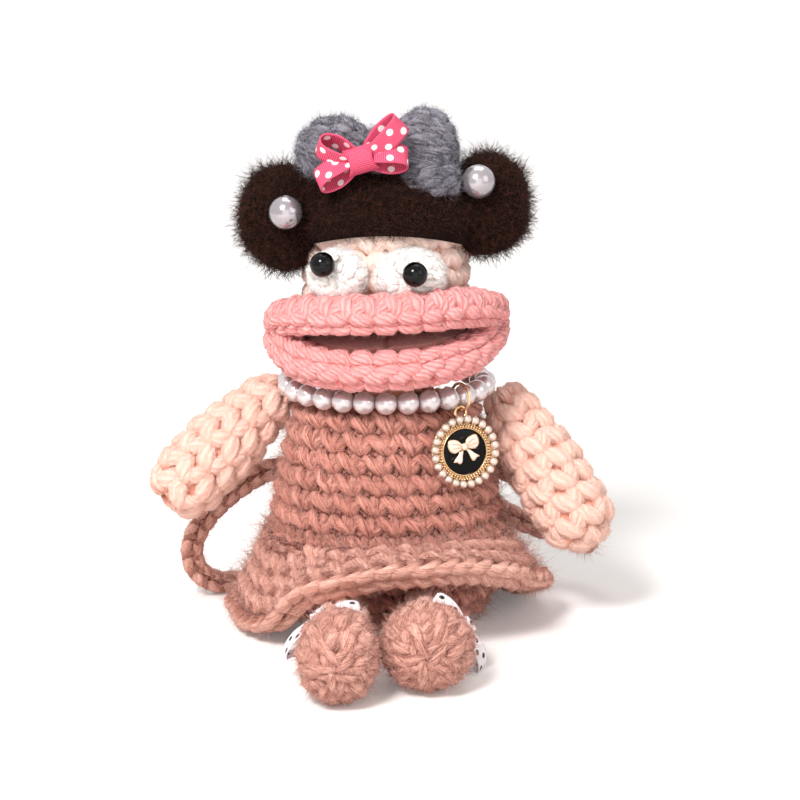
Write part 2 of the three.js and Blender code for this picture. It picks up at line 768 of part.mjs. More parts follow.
function pendantPlate() {
  const face = pendantPlateThickness;
  const bezelTop = face + bezelHeight;
  const bezelInside = enamelRadius + seamGap / 2;
  const plate = turned(
    [[0, 0], [pendantPlateRadius, 0], [pendantPlateRadius, face], [bezelRadius, face],
      [bezelRadius, bezelTop], [bezelInside, bezelTop], [bezelInside, face], [0, face]],
    limbSides + 4,
  );
  const eyelet = new THREE.TorusGeometry(eyeletRadius, eyeletWire, 6, 14);
  return hangPendant(join(plate, eyelet.translate(0, eyeletHeight, face / 2)));
}

function pendantEnamel() {
  const low = pendantPlateThickness + seamGap / 3;
  const high = low + enamelThickness;
  return hangPendant(turned([[0, low], [enamelRadius, low], [enamelRadius, high], [0, high]], limbSides));
}

function pendantRim() {
  const circle = bezelRadius + seamGap / 3 + rimPearlRadius;
  const height = pendantPlateThickness + seamGap / 3 + rimPearlRadius;
  const pearls = Array.from({ length: rimPearlCount }, (_, i) => {
    const angle = (2 * Math.PI * i) / rimPearlCount;
    const along = new THREE.Vector3(-Math.sin(angle), Math.cos(angle), 0);
    const place = [circle * Math.cos(angle), circle * Math.sin(angle), height];
    return threadedPearl(rimPearlRadius, along, place, 5, 3);
  });
  return hangPendant(join(...pearls));
}

// A plain tied bow in relief on the enamel
function pendantBow() {
  const outline = new THREE.Shape();
  outline.moveTo(0, 0.12);
  outline.bezierCurveTo(0.45, 0.75, 1, 0.8, 0.95, 0.35);
  outline.bezierCurveTo(0.9, -0.1, 0.55, -0.15, 0.2, -0.05);
  outline.lineTo(0.75, -0.85);
  outline.lineTo(0.4, -0.8);
  outline.lineTo(0, -0.2);
  outline.lineTo(-0.4, -0.8);
  outline.lineTo(-0.75, -0.85);
  outline.lineTo(-0.2, -0.05);
  outline.bezierCurveTo(-0.55, -0.15, -0.9, -0.1, -0.95, 0.35);
  outline.bezierCurveTo(-1, 0.8, -0.45, 0.75, 0, 0.12);
  const low = pendantPlateThickness + enamelThickness + (2 * seamGap) / 3;
  const relief = new THREE.ExtrudeGeometry(outline, { depth: 1, bevelEnabled: false, curveSegments: 4 });
  return hangPendant(relief.scale(pendantBowSize, pendantBowSize, pendantBowThickness).translate(0, 0, low));
}

// Limbs: turned along +Z from the joint ball, then aimed

function limbOutline(inset, startRadius, middleRadius, endRadius, length, mouth) {
  const start = THREE.MathUtils.radToDeg(Math.acos(mouth / (startRadius - inset)));
  return [
    ...arc(0, startRadius - inset, -start, 0),
    [middleRadius - inset, length / 2],
    ...arc(length, endRadius - inset, 0, 90),
  ];
}

function aimed(geometry, reach, from) {
  const aim = new THREE.Quaternion().setFromUnitVectors(upAxis, new THREE.Vector3(...reach).normalize());
  return geometry.applyQuaternion(aim).translate(...from);
}

function armCover(arm, shoulder) {
  const length = Math.hypot(...arm.reach);
  const sizes = [armShoulderRadius, armMiddleRadius, arm.handRadius, length, stuffingMouth];
  const outer = limbOutline(0, ...sizes);
  const inner = limbOutline(fabricWall, ...sizes).reverse();
  return aimed(turned([...outer, ...inner, outer[0]], limbSides), arm.reach, shoulder);
}

function armStuffing(arm, shoulder) {
  const length = Math.hypot(...arm.reach);
  const inset = fabricWall + seamGap;
  const outline = limbOutline(inset, armShoulderRadius, armMiddleRadius, arm.handRadius, length, 0);
  return aimed(turned(outline, limbSides), arm.reach, shoulder);
}

const forwards = [0, -1, 0];

function legLength(leg, hip) {
  return hip[1] - (leg.shoeCentre + leg.shoeHalfLength - shoeOverlap);
}

function legOutline(inset, leg, hip, mouth) {
  const start = THREE.MathUtils.radToDeg(Math.acos(mouth / (hipRadius - inset)));
  const end = legLength(leg, hip) - inset;
  return [...arc(0, hipRadius - inset, -start, 0), [legRadius - inset, end], [0, end]];
}

function legCover(leg, hip) {
  const outer = legOutline(0, leg, hip, stuffingMouth);
  const inner = legOutline(fabricWall, leg, hip, stuffingMouth).reverse();
  return aimed(turned([...outer, ...inner, outer[0]], limbSides), forwards, hip);
}

function legStuffing(leg, hip) {
  return aimed(turned(legOutline(fabricWall + seamGap, leg, hip, 0), limbSides), forwards, hip);
}

// A shoe is a stuffed toe worked onto the end of its leg and flat under the sole
function shoe(leg, hip) {
  const centre = [leg.x, leg.shoeCentre, leg.shoeHalfHeight - shoeSoleCut];
  const form = egg([leg.shoeHalfWidth, leg.shoeHalfLength, leg.shoeHalfHeight], 0, centre, limbSides);
  const end = legLength(leg, hip) + seamGap;
  const legRoom = turned([[0, -end], [farAway, -end], [farAway, end], [0, end]], limbSides);
  return cut(form, aimed(legRoom, forwards, hip), box([-farAway, -farAway, -farAway], [farAway, farAway, 0]));
}

// A shoe bow lies on the ankle behind its shoe, turned round the leg from the top towards the doll's left
function onLeg(geometry, leg, place) {
  const stand = legRadius + shoeBow.knotDepth / 2 + seamGap;
  return geometry
    .rotateY(degrees(place.lean))
    .rotateX(-Math.PI / 2)
    .translate(0, 0, stand)
    .rotateY(degrees(place.round))
    .translate(leg.x, leg.shoeCentre + place.along, legAxisHeight);
}

// Hand-hold loops

// Each end is trimmed to the outside of the dress, where it is sewn on
function strap(route) {
  const section = new THREE.Shape().absarc(0, 0, strapRadius, 0, 2 * Math.PI);
  const cord = new THREE.ExtrudeGeometry(section, {
    steps: strapSteps,
    curveSegments: 5,
    extrudePath: new THREE.CatmullRomCurve3(route.map((point) => new THREE.Vector3(...point))),
  });
  const dressOutline = [[0, 0], ...bodiceOutline(-seamGap), [0, shoulderHeight]];
  const dressRoom = turned(dressOutline, bodySides, bodyDepthRatio);
  return cut(cord, dressRoom);
}

// Assembly

const puppet = new THREE.Group();
puppet.name = "crocheted_hand_puppet";

function add(name, geometry, look) {
  const bare = geometry.index ? geometry.toNonIndexed() : geometry;
  bare.computeVertexNormals();
  const mesh = new THREE.Mesh(bare, new THREE.MeshStandardMaterial({ ...look, name }));
  mesh.name = name;
  puppet.add(mesh);
}

add("dress_bodice", dressBodice(), dressYarn);
add("seat_panel", seatPanel(), dressYarn);
add("body_stuffing", bodyStuffing(), fibreFill);
add("skirt_ruffle", skirtRuffle(), dressYarn);
add("pearl_necklace", pearlNecklace(), pearlPlastic);
add("right_hand_loop", strap(rightStrapRoute), dressYarn);
add("left_hand_loop", strap(leftStrapRoute), dressYarn);

add("neck_plug", neckPlug(), skinYarn);
add("jaw_shell", jawShell(), skinYarn);
add("lower_lip", lip(-1), lipYarn);
add("lower_mouth_lining", lining(-1), liningCloth);

add("head_shell", headShell(), skinYarn);
add("head_stuffing", headStuffing(), fibreFill);
add("upper_lip", lip(1), lipYarn);
add("upper_mouth_lining", lining(1), liningCloth);
add("right_eye_white", eyeWhite(rightEye, rightBead), whiteYarn);
add("left_eye_white", eyeWhite(leftEye, leftBead), whiteYarn);
add("right_pupil_bead", pupilBead(rightBead, rightEye), blackPlastic);
add("left_pupil_bead", pupilBead(leftBead, leftEye), blackPlastic);
add("right_pupil_thread", pupilThread(rightBead, rightEye), sewingThread);
add("left_pupil_thread", pupilThread(leftBead, leftEye), sewingThread);
add("hair_cap", hairCap(), hairWool);
add("right_hair_bun", hairBun(rightBun, rightBunPearl), hairWool);
add("left_hair_bun", hairBun(leftBun, leftBunPearl), hairWool);
add("right_bun_pearl", bunPearl(rightBunPearl, rightBun), pearlPlastic);
add("left_bun_pearl", bunPearl(leftBunPearl, leftBun), pearlPlastic);
add("right_grey_loop", greyLoop(rightGreyLoop), greyYarn);
add("left_grey_loop", greyLoop(leftGreyLoop), greyYarn);
add("grey_bow_knot", greyKnotPiece(), greyYarn);
add("right_ribbon_loops", cut(onHair(bowSide(hairBow, -1)), hairForm(seamGap)), pinkRibbon);
add("left_ribbon_loops", cut(onHair(bowSide(hairBow, 1)), hairForm(seamGap)), pinkRibbon);
add("ribbon_bow_knot", cut(onHair(bowKnotForm(hairBow)), hairForm(seamGap)), pinkRibbon);

add("jump_ring", jumpRing(), goldMetal);
add("pendant_plate", pendantPlate(), goldMetal);
add("pendant_enamel", pendantEnamel(), blackEnamel);
add("pendant_pearl_rim", pendantRim(), pearlPlastic);
add("pendant_bow", pendantBow(), whiteEnamel);

for (const [side, arm, shoulder] of [["right", rightArm, rightShoulder], ["left", leftArm, leftShoulder]]) {
  add(`${side}_arm_cover`, armCover(arm, shoulder), skinYarn);
  add(`${side}_arm_stuffing`, armStuffing(arm, shoulder), fibreFill);
}

for (const [side, leg, hip, place] of [
  ["right", rightLeg, rightHip, rightShoeBow],
  ["left", leftLeg, leftHip, leftShoeBow],
]) {
  add(`${side}_leg_cover`, legCover(leg, hip), skinYarn);
  add(`${side}_leg_stuffing`, legStuffing(leg, hip), fibreFill);
  add(`${side}_shoe`, shoe(leg, hip), dressYarn);
  add(`${side}_shoe_bow_outer_loops`, onLeg(bowSide(shoeBow, 1), leg, place), dottedRibbon);
  add(`${side}_shoe_bow_inner_loops`, onLeg(bowSide(shoeBow, -1), leg, place), dottedRibbon);
  add(`${side}_shoe_bow_knot`, onLeg(bowKnotForm(shoeBow), leg, place), dottedRibbon);
}

export default puppet;
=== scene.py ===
import math
import random

import bmesh
import bpy
import numpy as np
from mathutils import Matrix, Vector


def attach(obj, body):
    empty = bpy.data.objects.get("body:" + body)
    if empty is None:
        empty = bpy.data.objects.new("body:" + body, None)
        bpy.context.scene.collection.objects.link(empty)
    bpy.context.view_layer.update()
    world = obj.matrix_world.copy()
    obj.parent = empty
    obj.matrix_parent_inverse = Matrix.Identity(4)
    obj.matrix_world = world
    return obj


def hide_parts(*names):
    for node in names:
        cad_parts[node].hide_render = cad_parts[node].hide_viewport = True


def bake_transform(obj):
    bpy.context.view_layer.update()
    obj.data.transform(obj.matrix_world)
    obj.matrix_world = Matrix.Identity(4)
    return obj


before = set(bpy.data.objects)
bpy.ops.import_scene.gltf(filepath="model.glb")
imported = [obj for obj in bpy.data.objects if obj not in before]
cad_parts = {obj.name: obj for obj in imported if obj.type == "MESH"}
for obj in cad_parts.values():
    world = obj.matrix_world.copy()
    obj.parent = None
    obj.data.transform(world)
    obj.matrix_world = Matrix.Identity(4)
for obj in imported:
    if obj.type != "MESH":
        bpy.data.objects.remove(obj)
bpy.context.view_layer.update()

# Camera, light and floor. A long lens a little above the seated doll. A soft box stands at its upper right,
# weaker ones at its left, in front and above, and a white floor keeps the doll's soft shadow.

bpy.context.scene.view_settings.view_transform = "Standard"

doll_middle = Vector((0, 0, 0.07))
white = (1, 1, 1, 1)


def set_up(name, data, place, target):
    """A camera or lamp at a place, aimed at a target."""
    made = bpy.data.objects.new(name, data)
    made.location = place
    made.rotation_euler = (target - made.location).to_track_quat("-Z", "Y").to_euler()
    bpy.context.collection.objects.link(made)
    return made


lens = bpy.data.cameras.new("photo_lens")
lens.lens = 100.8
lens.sensor_width = 36
viewer_side = 0.0042
bpy.context.scene.camera = set_up("photo_viewer", lens, (viewer_side, -0.6847, 0.2155),
                                  doll_middle + Vector((viewer_side, 0, 0)))

for name, place, size, watts in (
    ("key_box", (-0.32, -0.66, 0.74), 0.26, 11.0),
    ("fill_box", (0.75, -0.6, 0.5), 0.6, 1.8),
    ("front_box", (0.05, -0.95, 0.2), 0.8, 2.2),
    ("top_box", (0.05, 0.25, 0.95), 0.6, 2.6),
):
    lamp = bpy.data.lights.new(name, "AREA")
    lamp.size = size
    lamp.energy = watts
    set_up(name, lamp, place, doll_middle)


def add(tree, kind, inputs=None, **settings):
    """A node with its settings, and its inputs set to values or joined to other nodes' outputs."""
    made = tree.nodes.new(kind)
    for key, value in settings.items():
        setattr(made, key, value)
    for key, value in (inputs or {}).items():
        if isinstance(value, bpy.types.NodeSocket):
            tree.links.new(value, made.inputs[key])
        else:
            made.inputs[key].default_value = value
    return made


def calc(tree, operation, *values):
    """The output of a math node."""
    return add(tree, "ShaderNodeMath", dict(enumerate(values)), operation=operation).outputs[0]


def map_range(tree, value, low, high, to_low=0.0, to_high=1.0, **settings):
    """The output of a node that maps one range of values to another."""
    ends = {0: value, 1: low, 2: high, 3: to_low, 4: to_high}
    return add(tree, "ShaderNodeMapRange", ends, **settings).outputs[0]


def seen_white(tree):
    """1 for what the camera, a mirror or glass sees, and 0 for light on the doll."""
    path = add(tree, "ShaderNodeLightPath").outputs
    either = calc(tree, "MAXIMUM", path["Is Camera Ray"], path["Is Glossy Ray"])
    return calc(tree, "MAXIMUM", either, path["Is Transmission Ray"])


sky = bpy.data.worlds.new("white_studio")
sky.use_nodes = True
sky_back = sky.node_tree.nodes["Background"]
sky_back.inputs["Color"].default_value = white
light_on_doll, light_seen = 0.42, 1.0
sky_level = map_range(sky.node_tree, seen_white(sky.node_tree), 0.0, 1.0, light_on_doll, light_seen)
sky.node_tree.links.new(sky_level, sky_back.inputs["Strength"])
bpy.context.scene.world = sky


def new_finish(name, **sockets):
    """A material, its tree and its shader, with constant values on the shader's own sockets."""
    made = bpy.data.materials.new(name)
    made.use_nodes = True
    shader = made.node_tree.nodes["Principled BSDF"]
    for key, value in sockets.items():
        shader.inputs[key.replace("_", " ")].default_value = value
    return made, made.node_tree, shader


floor_paint, tree, shader = new_finish("white_floor", Base_Color=(0.88, 0.845, 0.82, 1), Roughness=1,
                                       Specular_IOR_Level=0, Emission_Color=white)
from_doll = add(tree, "ShaderNodeVectorMath", {0: add(tree, "ShaderNodeTexCoord").outputs["Object"]},
                operation="LENGTH").outputs["Value"]
floor_level = map_range(tree, from_doll, 0.1, 0.9, 0.12, 0.7)
tree.links.new(calc(tree, "MULTIPLY", seen_white(tree), floor_level), shader.inputs["Emission Strength"])
floor_mesh = bpy.data.meshes.new("floor")
floor_mesh.from_pydata([(-9, -3, 0), (9, -3, 0), (9, 15, 0), (-9, 15, 0)], [], [(0, 1, 2, 3)])
floor_mesh.materials.append(floor_paint)
floor = bpy.data.objects.new("floor", floor_mesh)
bpy.context.collection.objects.link(floor)

# Dress body. A stuffed tube crocheted in rounds of single stitches from dusky-pink mohair, on a round seat.
# The ground under the stitches, the inside of the fabric, is painted dark as shade; each stitch is four yarn
# legs.

MM = 0.001


def piece(name, vertices, faces, material=None):
    """A smooth mesh object at the origin, from points in millimetres."""
    mesh = bpy.data.meshes.new(name)
    mesh.from_pydata([tuple(c * MM for c in v) for v in vertices], [], faces)
    mesh.shade_smooth()
    if material:
        mesh.materials.append(material)
    made = bpy.data.objects.new(name, mesh)
    bpy.context.collection.objects.link(made)
    return made


def outwards(made):
    """Turns a closed mesh's faces outwards."""
    shell = bmesh.new()
    shell.from_mesh(made.data)
    bmesh.ops.recalc_face_normals(shell, faces=shell.faces)
    shell.to_mesh(made.data)
    shell.free()
    return made


def round_angles(count):
    return [2 * math.pi * i / count for i in range(count)]


def spin(degrees, axis, size=4):
    return Matrix.Rotation(math.radians(degrees), size, axis)


def smooth_line(points, steps=12, closed=False):
    """A smooth line through a few points, as an array."""
    p = np.array(points, float)
    p = np.vstack([p[-1], p, p[0], p[1]]) if closed else np.vstack([2 * p[0] - p[1], p, 2 * p[-1] - p[-2]])
    t = (np.arange(steps) / steps)[:, None]
    runs = []
    for a, b, c, d in zip(p[:-3], p[1:-2], p[2:-1], p[3:]):
        square = (2 * a - 5 * b + 4 * c - d) * t ** 2
        cube = (3 * b - a - 3 * c + d) * t ** 3
        runs.append(0.5 * (2 * b + (c - a) * t + square + cube))
    runs.append((p[1] if closed else p[-2])[None])
    return np.vstack(runs)


def run_along(line):
    """The distance along a line of points, at each of them."""
    return np.concatenate([[0], np.cumsum(np.linalg.norm(np.diff(np.array(line, float), axis=0), axis=1))])


def spot_on(line, run, distance):
    """The point of a line at a distance along it."""
    return Vector([np.interp(distance, run, [p[c] for p in line]) for c in range(3)])


def turned(outline, place=Matrix.Identity(4)):
    """A round surface from [radius, height] points in mm: at(turns, distance along the outline in mm)."""
    line = np.array(outline, float)
    line[:, 0] = np.maximum(line[:, 0], 0)
    run = run_along(line)

    def at(turns, along):
        r = np.interp(along, run, line[:, 0])
        h = np.interp(along, run, line[:, 1])
        return place @ Vector((r * math.cos(2 * math.pi * turns), r * math.sin(2 * math.pi * turns), h))

    at.length = run[-1]
    return at


def rings_of(surface, rows, around):
    """Rings of points on a surface, one at each distance in rows."""
    return [[surface(i / around, s) for i in range(around)] for s in rows]


def loft(name, rings, material=None):
    """A closed form over rings of points, with a pole at each end."""
    count = len(rings[0])
    low = sum((Vector(p) for p in rings[0]), Vector()) / count
    high = sum((Vector(p) for p in rings[-1]), Vector()) / count
    vertices = [p for ring in rings for p in ring] + [low, high]
    faces = []
    for k in range(len(rings) - 1):
        for i in range(count):
            j = (i + 1) % count
            faces.append((k * count + i, k * count + j, (k + 1) * count + j, (k + 1) * count + i))
    last = (len(rings) - 1) * count
    for i in range(count):
        j = (i + 1) % count
        faces.append((len(vertices) - 2, j, i))
        faces.append((len(vertices) - 1, last + i, last + j))
    return piece(name, vertices, faces, material)


def form(name, surface, material, around=40, step=2.5):
    """The closed stuffed form inside a turned surface."""
    rows = np.linspace(0.04, surface.length - 0.04, max(6, int(surface.length / step)))
    return loft(name, rings_of(surface, rows, around), material)


def frame_at(surface, turns, along):
    """Place, outward and across directions on a surface."""
    e, d = 1e-3, min(0.05, 0.002 * surface.length + 0.01)
    side = surface(turns + e, along) - surface(turns - e, along)
    up = surface(turns, min(along + d, surface.length)) - surface(turns, max(along - d, 0))
    return surface(turns, along), side.cross(up).normalized(), side.normalized()


def rounds(surface, heights, row, width, thick, seed, lean=0, keep=None, shift=0.5):
    """Stitches in rounds on a turned surface: place, outward, across and size for each."""
    dice = random.Random(seed)
    fewest, corners = 5, 65
    stitches = []
    for k, along in enumerate(heights):
        run = run_along([surface(i / (corners - 1), along) for i in range(corners)])
        count = max(fewest, round(run[-1] / width))
        for i in range(count):
            share = (i + shift * k + dice.uniform(-0.06, 0.06)) / count % 1
            turns = np.interp(share * run[-1], run, np.linspace(0, 1, corners))
            here, out, across = frame_at(surface, turns, along + dice.uniform(-0.03, 0.03) * row)
            if keep and not keep(here):
                continue
            across = spin(lean + dice.uniform(-8, 8), out, 3) @ across
            size = (run[-1] / count * dice.uniform(0.96, 1.06), row * dice.uniform(0.97, 1.06),
                    thick * dice.uniform(0.94, 1.06))
            stitches.append((here, out, across, size))
    return stitches


def mark_points(made, key, vectors):
    """Gives each point of a piece a vector of its own."""
    values = made.data.attributes.new(key, "FLOAT_VECTOR", "POINT")
    values.data.foreach_set("vector", [c for vector in vectors for c in vector])


def stitch_points(name, stitches):
    """Loose points that carry each stitch's directions, size and own random value, for the crochet tree."""
    places, outs, acrosses, sizes = zip(*stitches)
    made = piece(name, places, [])
    mark_points(made, "out", outs)
    mark_points(made, "across", acrosses)
    mark_points(made, "size", [[c * MM for c in size] for size in sizes])
    dice = random.Random(len(stitches))
    own = made.data.attributes.new("own", "FLOAT", "POINT")
    own.data.foreach_set("value", [dice.random() for _ in stitches])
    return made


def yarn_pattern(name, legs, sides=6, steps=4):
    """A pattern stitch of tapered yarn legs in a unit square; its yarn map runs along and round each leg."""
    vertices, faces, marks = [], [], []
    for points, radius in legs:
        line = [Vector(p) for p in smooth_line(points, 6)]
        line = [line[round(i * (len(line) - 1) / steps)] for i in range(steps + 1)]
        start = len(vertices)
        for i, p in enumerate(line):
            ahead = (line[min(i + 1, steps)] - line[max(i - 1, 0)]).normalized()
            side = ahead.cross(Vector((0, 0, 1))).normalized()
            rise = side.cross(ahead)
            r = radius * (0.62 + 0.38 * math.sin(math.pi * (0.08 + 0.84 * i / steps)))
            vertices += [p + side * r * math.cos(t) + rise * r * math.sin(t) for t in round_angles(sides)]
        for i in range(steps):
            for j in range(sides):
                n = (j + 1) % sides
                a = start + i * sides
                faces.append((a + j, a + sides + j, a + sides + n, a + n))
                marks.append([(i / steps, j / sides), ((i + 1) / steps, j / sides),
                              ((i + 1) / steps, (j + 1) / sides), (i / steps, (j + 1) / sides)])
        faces.append(tuple(start + j for j in range(sides)))
        marks.append([(0, j / sides) for j in range(sides)])
        faces.append(tuple(start + steps * sides + j for j in reversed(range(sides))))
        marks.append([(1, j / sides) for j in reversed(range(sides))])
    made = piece(name, [v / MM for v in vertices], faces)
    yarn_map = made.data.uv_layers.new(name="yarn")
    yarn_map.data.foreach_set("uv", [c for face in marks for corner in face for c in corner])
    return outwards(made)


v_stitch = yarn_pattern("v_stitch_pattern", [
    ([(-0.6, 0.4, -0.34), (-0.34, 0.22, 0.14), (0.04, -0.12, 0.16), (0.32, -0.46, -0.4)], 0.27),
    ([(0.52, 0.46, -0.4), (0.47, 0.2, 0.02), (0.4, -0.1, 0.04), (0.3, -0.46, -0.42)], 0.22),
    ([(0.0, 0.5, -0.36), (0.12, 0.26, 0.02), (0.26, -0.06, 0.02), (0.34, -0.4, -0.42)], 0.22),
    ([(-0.55, -0.26, -0.44), (-0.24, -0.34, -0.2), (0.16, -0.42, -0.44)], 0.2),
])


def fibre_pattern(name, points, faces):
    """A pattern fibre of unit length."""
    return piece(name, [tuple(c / MM for c in p) for p in points], faces)


hair_fibre = fibre_pattern("fibre_pattern", (
    (0.05, 0, 0), (-0.025, 0.043, 0), (-0.025, -0.043, 0),
    (0.39, 0, 0.5), (0.33, 0.034, 0.5), (0.33, -0.034, 0.5), (1.5, 0, 0.95),
), [(0, 2, 1), (0, 1, 4, 3), (1, 2, 5, 4), (2, 0, 3, 5), (3, 4, 6), (4, 5, 6), (5, 3, 6)])
short_fibre = fibre_pattern("short_fibre_pattern", (
    (0.07, 0, 0), (-0.035, 0.06, 0), (-0.035, -0.06, 0), (0.3, 0, 1),
), [(0, 2, 1), (0, 1, 3), (1, 2, 3), (2, 0, 3)])


def tree_with(name, sockets):
    """A geometry tree with named inputs, and one geometry going in and out."""
    tree = bpy.data.node_groups.new(name, "GeometryNodeTree")
    tree.interface.new_socket("Geometry", in_out="INPUT", socket_type="NodeSocketGeometry")
    tree.interface.new_socket("Geometry", in_out="OUTPUT", socket_type="NodeSocketGeometry")
    for key, kind in sockets:
        tree.interface.new_socket(key, in_out="INPUT", socket_type=kind)
    return tree, add(tree, "NodeGroupInput").outputs, add(tree, "NodeGroupOutput").inputs[0]


def point_vector(tree, key):
    """The vector that each point carries under a name."""
    return add(tree, "GeometryNodeInputNamedAttribute", {"Name": key}, data_type="FLOAT_VECTOR").outputs[0]


def fuzz(tree, faces, given):
    """Fibres that stand out of the outer side of faces, tilted at random and mostly short."""
    normal = add(tree, "GeometryNodeInputNormal").outputs[0]
    outward = add(tree, "ShaderNodeVectorMath", {0: normal, 1: point_vector(tree, "out")},
                  operation="DOT_PRODUCT").outputs["Value"]
    shown = calc(tree, "GREATER_THAN", outward, -0.01)
    dense = calc(tree, "MULTIPLY", shown, given["Fibres per area"])
    spots = add(tree, "GeometryNodeDistributePointsOnFaces",
                {"Mesh": faces, "Density": dense, "Seed": given["Seed"]})
    low = add(tree, "ShaderNodeVectorMath", {0: given["Spread"], 1: (-1, -1, -1)}, operation="MULTIPLY")
    tilt = add(tree, "FunctionNodeRandomValue", {0: low.outputs[0], 1: given["Spread"], 8: given["Seed"]},
               data_type="FLOAT_VECTOR")
    aim = add(tree, "FunctionNodeEulerToRotation", {0: tilt.outputs[0]})
    turn = add(tree, "FunctionNodeRotateRotation", {0: spots.outputs["Rotation"], 1: aim.outputs[0]},
               rotation_space="LOCAL")
    lot = add(tree, "FunctionNodeRandomValue", {2: 0.4, 3: 1.0, 8: given["Seed"]}, data_type="FLOAT")
    long = calc(tree, "MULTIPLY", calc(tree, "POWER", lot.outputs[1], 3.0), given["Fibre length"])
    fine = add(tree, "ShaderNodeCombineXYZ", {0: given["Fibre width"], 1: given["Fibre width"], 2: long})
    pattern = add(tree, "GeometryNodeObjectInfo", {"Object": given["Fibre"]})
    fibres = add(tree, "GeometryNodeInstanceOnPoints",
                 {"Points": spots.outputs["Points"], "Instance": pattern.outputs["Geometry"],
                  "Rotation": turn.outputs[0], "Scale": fine.outputs[0]})
    real = add(tree, "GeometryNodeRealizeInstances", {"Geometry": fibres.outputs[0]})
    return add(tree, "GeometryNodeSetMaterial",
               {"Geometry": real.outputs[0], "Material": given["Fibre finish"]}).outputs[0]


fibre_sockets = [("Fibre", "NodeSocketObject"), ("Fibres per area", "NodeSocketFloat"),
                 ("Fibre length", "NodeSocketFloat"), ("Fibre width", "NodeSocketFloat"),
                 ("Spread", "NodeSocketVector"), ("Fibre finish", "NodeSocketMaterial"),
                 ("Seed", "NodeSocketInt")]

crochet_tree, given, result = tree_with(
    "crochet_rows", [("Stitch", "NodeSocketObject"), ("Yarn", "NodeSocketMaterial")] + fibre_sockets)
aimed = add(crochet_tree, "FunctionNodeAxesToRotation",
            {0: point_vector(crochet_tree, "out"), 1: point_vector(crochet_tree, "across")},
            primary_axis="Z", secondary_axis="X")
pattern = add(crochet_tree, "GeometryNodeObjectInfo", {"Object": given["Stitch"]})
placed = add(crochet_tree, "GeometryNodeInstanceOnPoints",
             {"Points": given["Geometry"], "Instance": pattern.outputs["Geometry"],
              "Rotation": aimed.outputs[0], "Scale": point_vector(crochet_tree, "size")})
worked = add(crochet_tree, "GeometryNodeRealizeInstances", {"Geometry": placed.outputs[0]}).outputs[0]
dyed = add(crochet_tree, "GeometryNodeSetMaterial", {"Geometry": worked, "Material": given["Yarn"]})
both = add(crochet_tree, "GeometryNodeJoinGeometry")
crochet_tree.links.new(fuzz(crochet_tree, worked, given), both.inputs[0])
crochet_tree.links.new(dyed.outputs[0], both.inputs[0])
crochet_tree.links.new(both.outputs[0], result)

fuzz_tree, given, result = tree_with("fuzz", fibre_sockets)
both = add(fuzz_tree, "GeometryNodeJoinGeometry")
fuzz_tree.links.new(fuzz(fuzz_tree, given["Geometry"], given), both.inputs[0])
fuzz_tree.links.new(given["Geometry"], both.inputs[0])
fuzz_tree.links.new(both.outputs[0], result)

halo_tree, given, result = tree_with("halo", fibre_sockets)
halo_tree.links.new(fuzz(halo_tree, given["Geometry"], given), result)


def settle(made):
    """Turns a piece's modifiers into its plain mesh."""
    made.update_tag()
    plain = bpy.data.meshes.new_from_object(made.evaluated_get(bpy.context.evaluated_depsgraph_get()))
    made.modifiers.clear()
    made.data = plain
    return made


def rest_on_floor(mesh, soft=0.8 * MM):
    """Flattens whatever would reach through the floor, as the doll's weight does."""
    spots = np.empty(3 * len(mesh.vertices), dtype=np.float32)
    mesh.vertices.foreach_get("co", spots)
    low = spots[2::3]
    spots[2::3] = np.where(low < soft, soft ** 2 / np.maximum(2 * soft - low, soft), low)
    mesh.vertices.foreach_set("co", spots)
    mesh.update()


def worked_with(made, tree, **values):
    """Runs a geometry tree on a piece and keeps the result as its plain mesh."""
    step = made.modifiers.new(tree.name, "NODES")
    step.node_group = tree
    for item in tree.interface.items_tree:
        key = item.name.replace(" ", "_").lower()
        if item.item_type == "SOCKET" and item.in_out == "INPUT" and key in values:
            step[item.identifier] = values[key]
    settle(made)
    made.data.shade_smooth()
    rest_on_floor(made.data)
    return made


def shade(code):
    """An sRGB colour code as the linear colour that a shader takes."""
    parts = [int(code[i:i + 2], 16) / 255 for i in (1, 3, 5)]
    return tuple(c / 12.92 if c <= 0.04045 else ((c + 0.055) / 1.055) ** 2.4 for c in parts) + (1,)


def mix_colour(tree, factor, a, b):
    return add(tree, "ShaderNodeMix", {0: factor, 6: a, 7: b}, data_type="RGBA").outputs[2]


def emboss(tree, shader, height, strength, distance):
    bump = add(tree, "ShaderNodeBump", {"Strength": strength, "Distance": distance, "Height": height})
    tree.links.new(bump.outputs[0], shader.inputs["Normal"])


def noise(tree, scale, detail):
    """A cloud of values fixed to the object."""
    where = add(tree, "ShaderNodeTexCoord").outputs["Object"]
    return add(tree, "ShaderNodeTexNoise", {"Vector": where, "Scale": scale, "Detail": detail}).outputs[0]


def weighed(tree, a, a_weight, b, b_weight):
    """The sum of two outputs, each times its weight."""
    return calc(tree, "ADD", calc(tree, "MULTIPLY", a, a_weight), calc(tree, "MULTIPLY", b, b_weight))


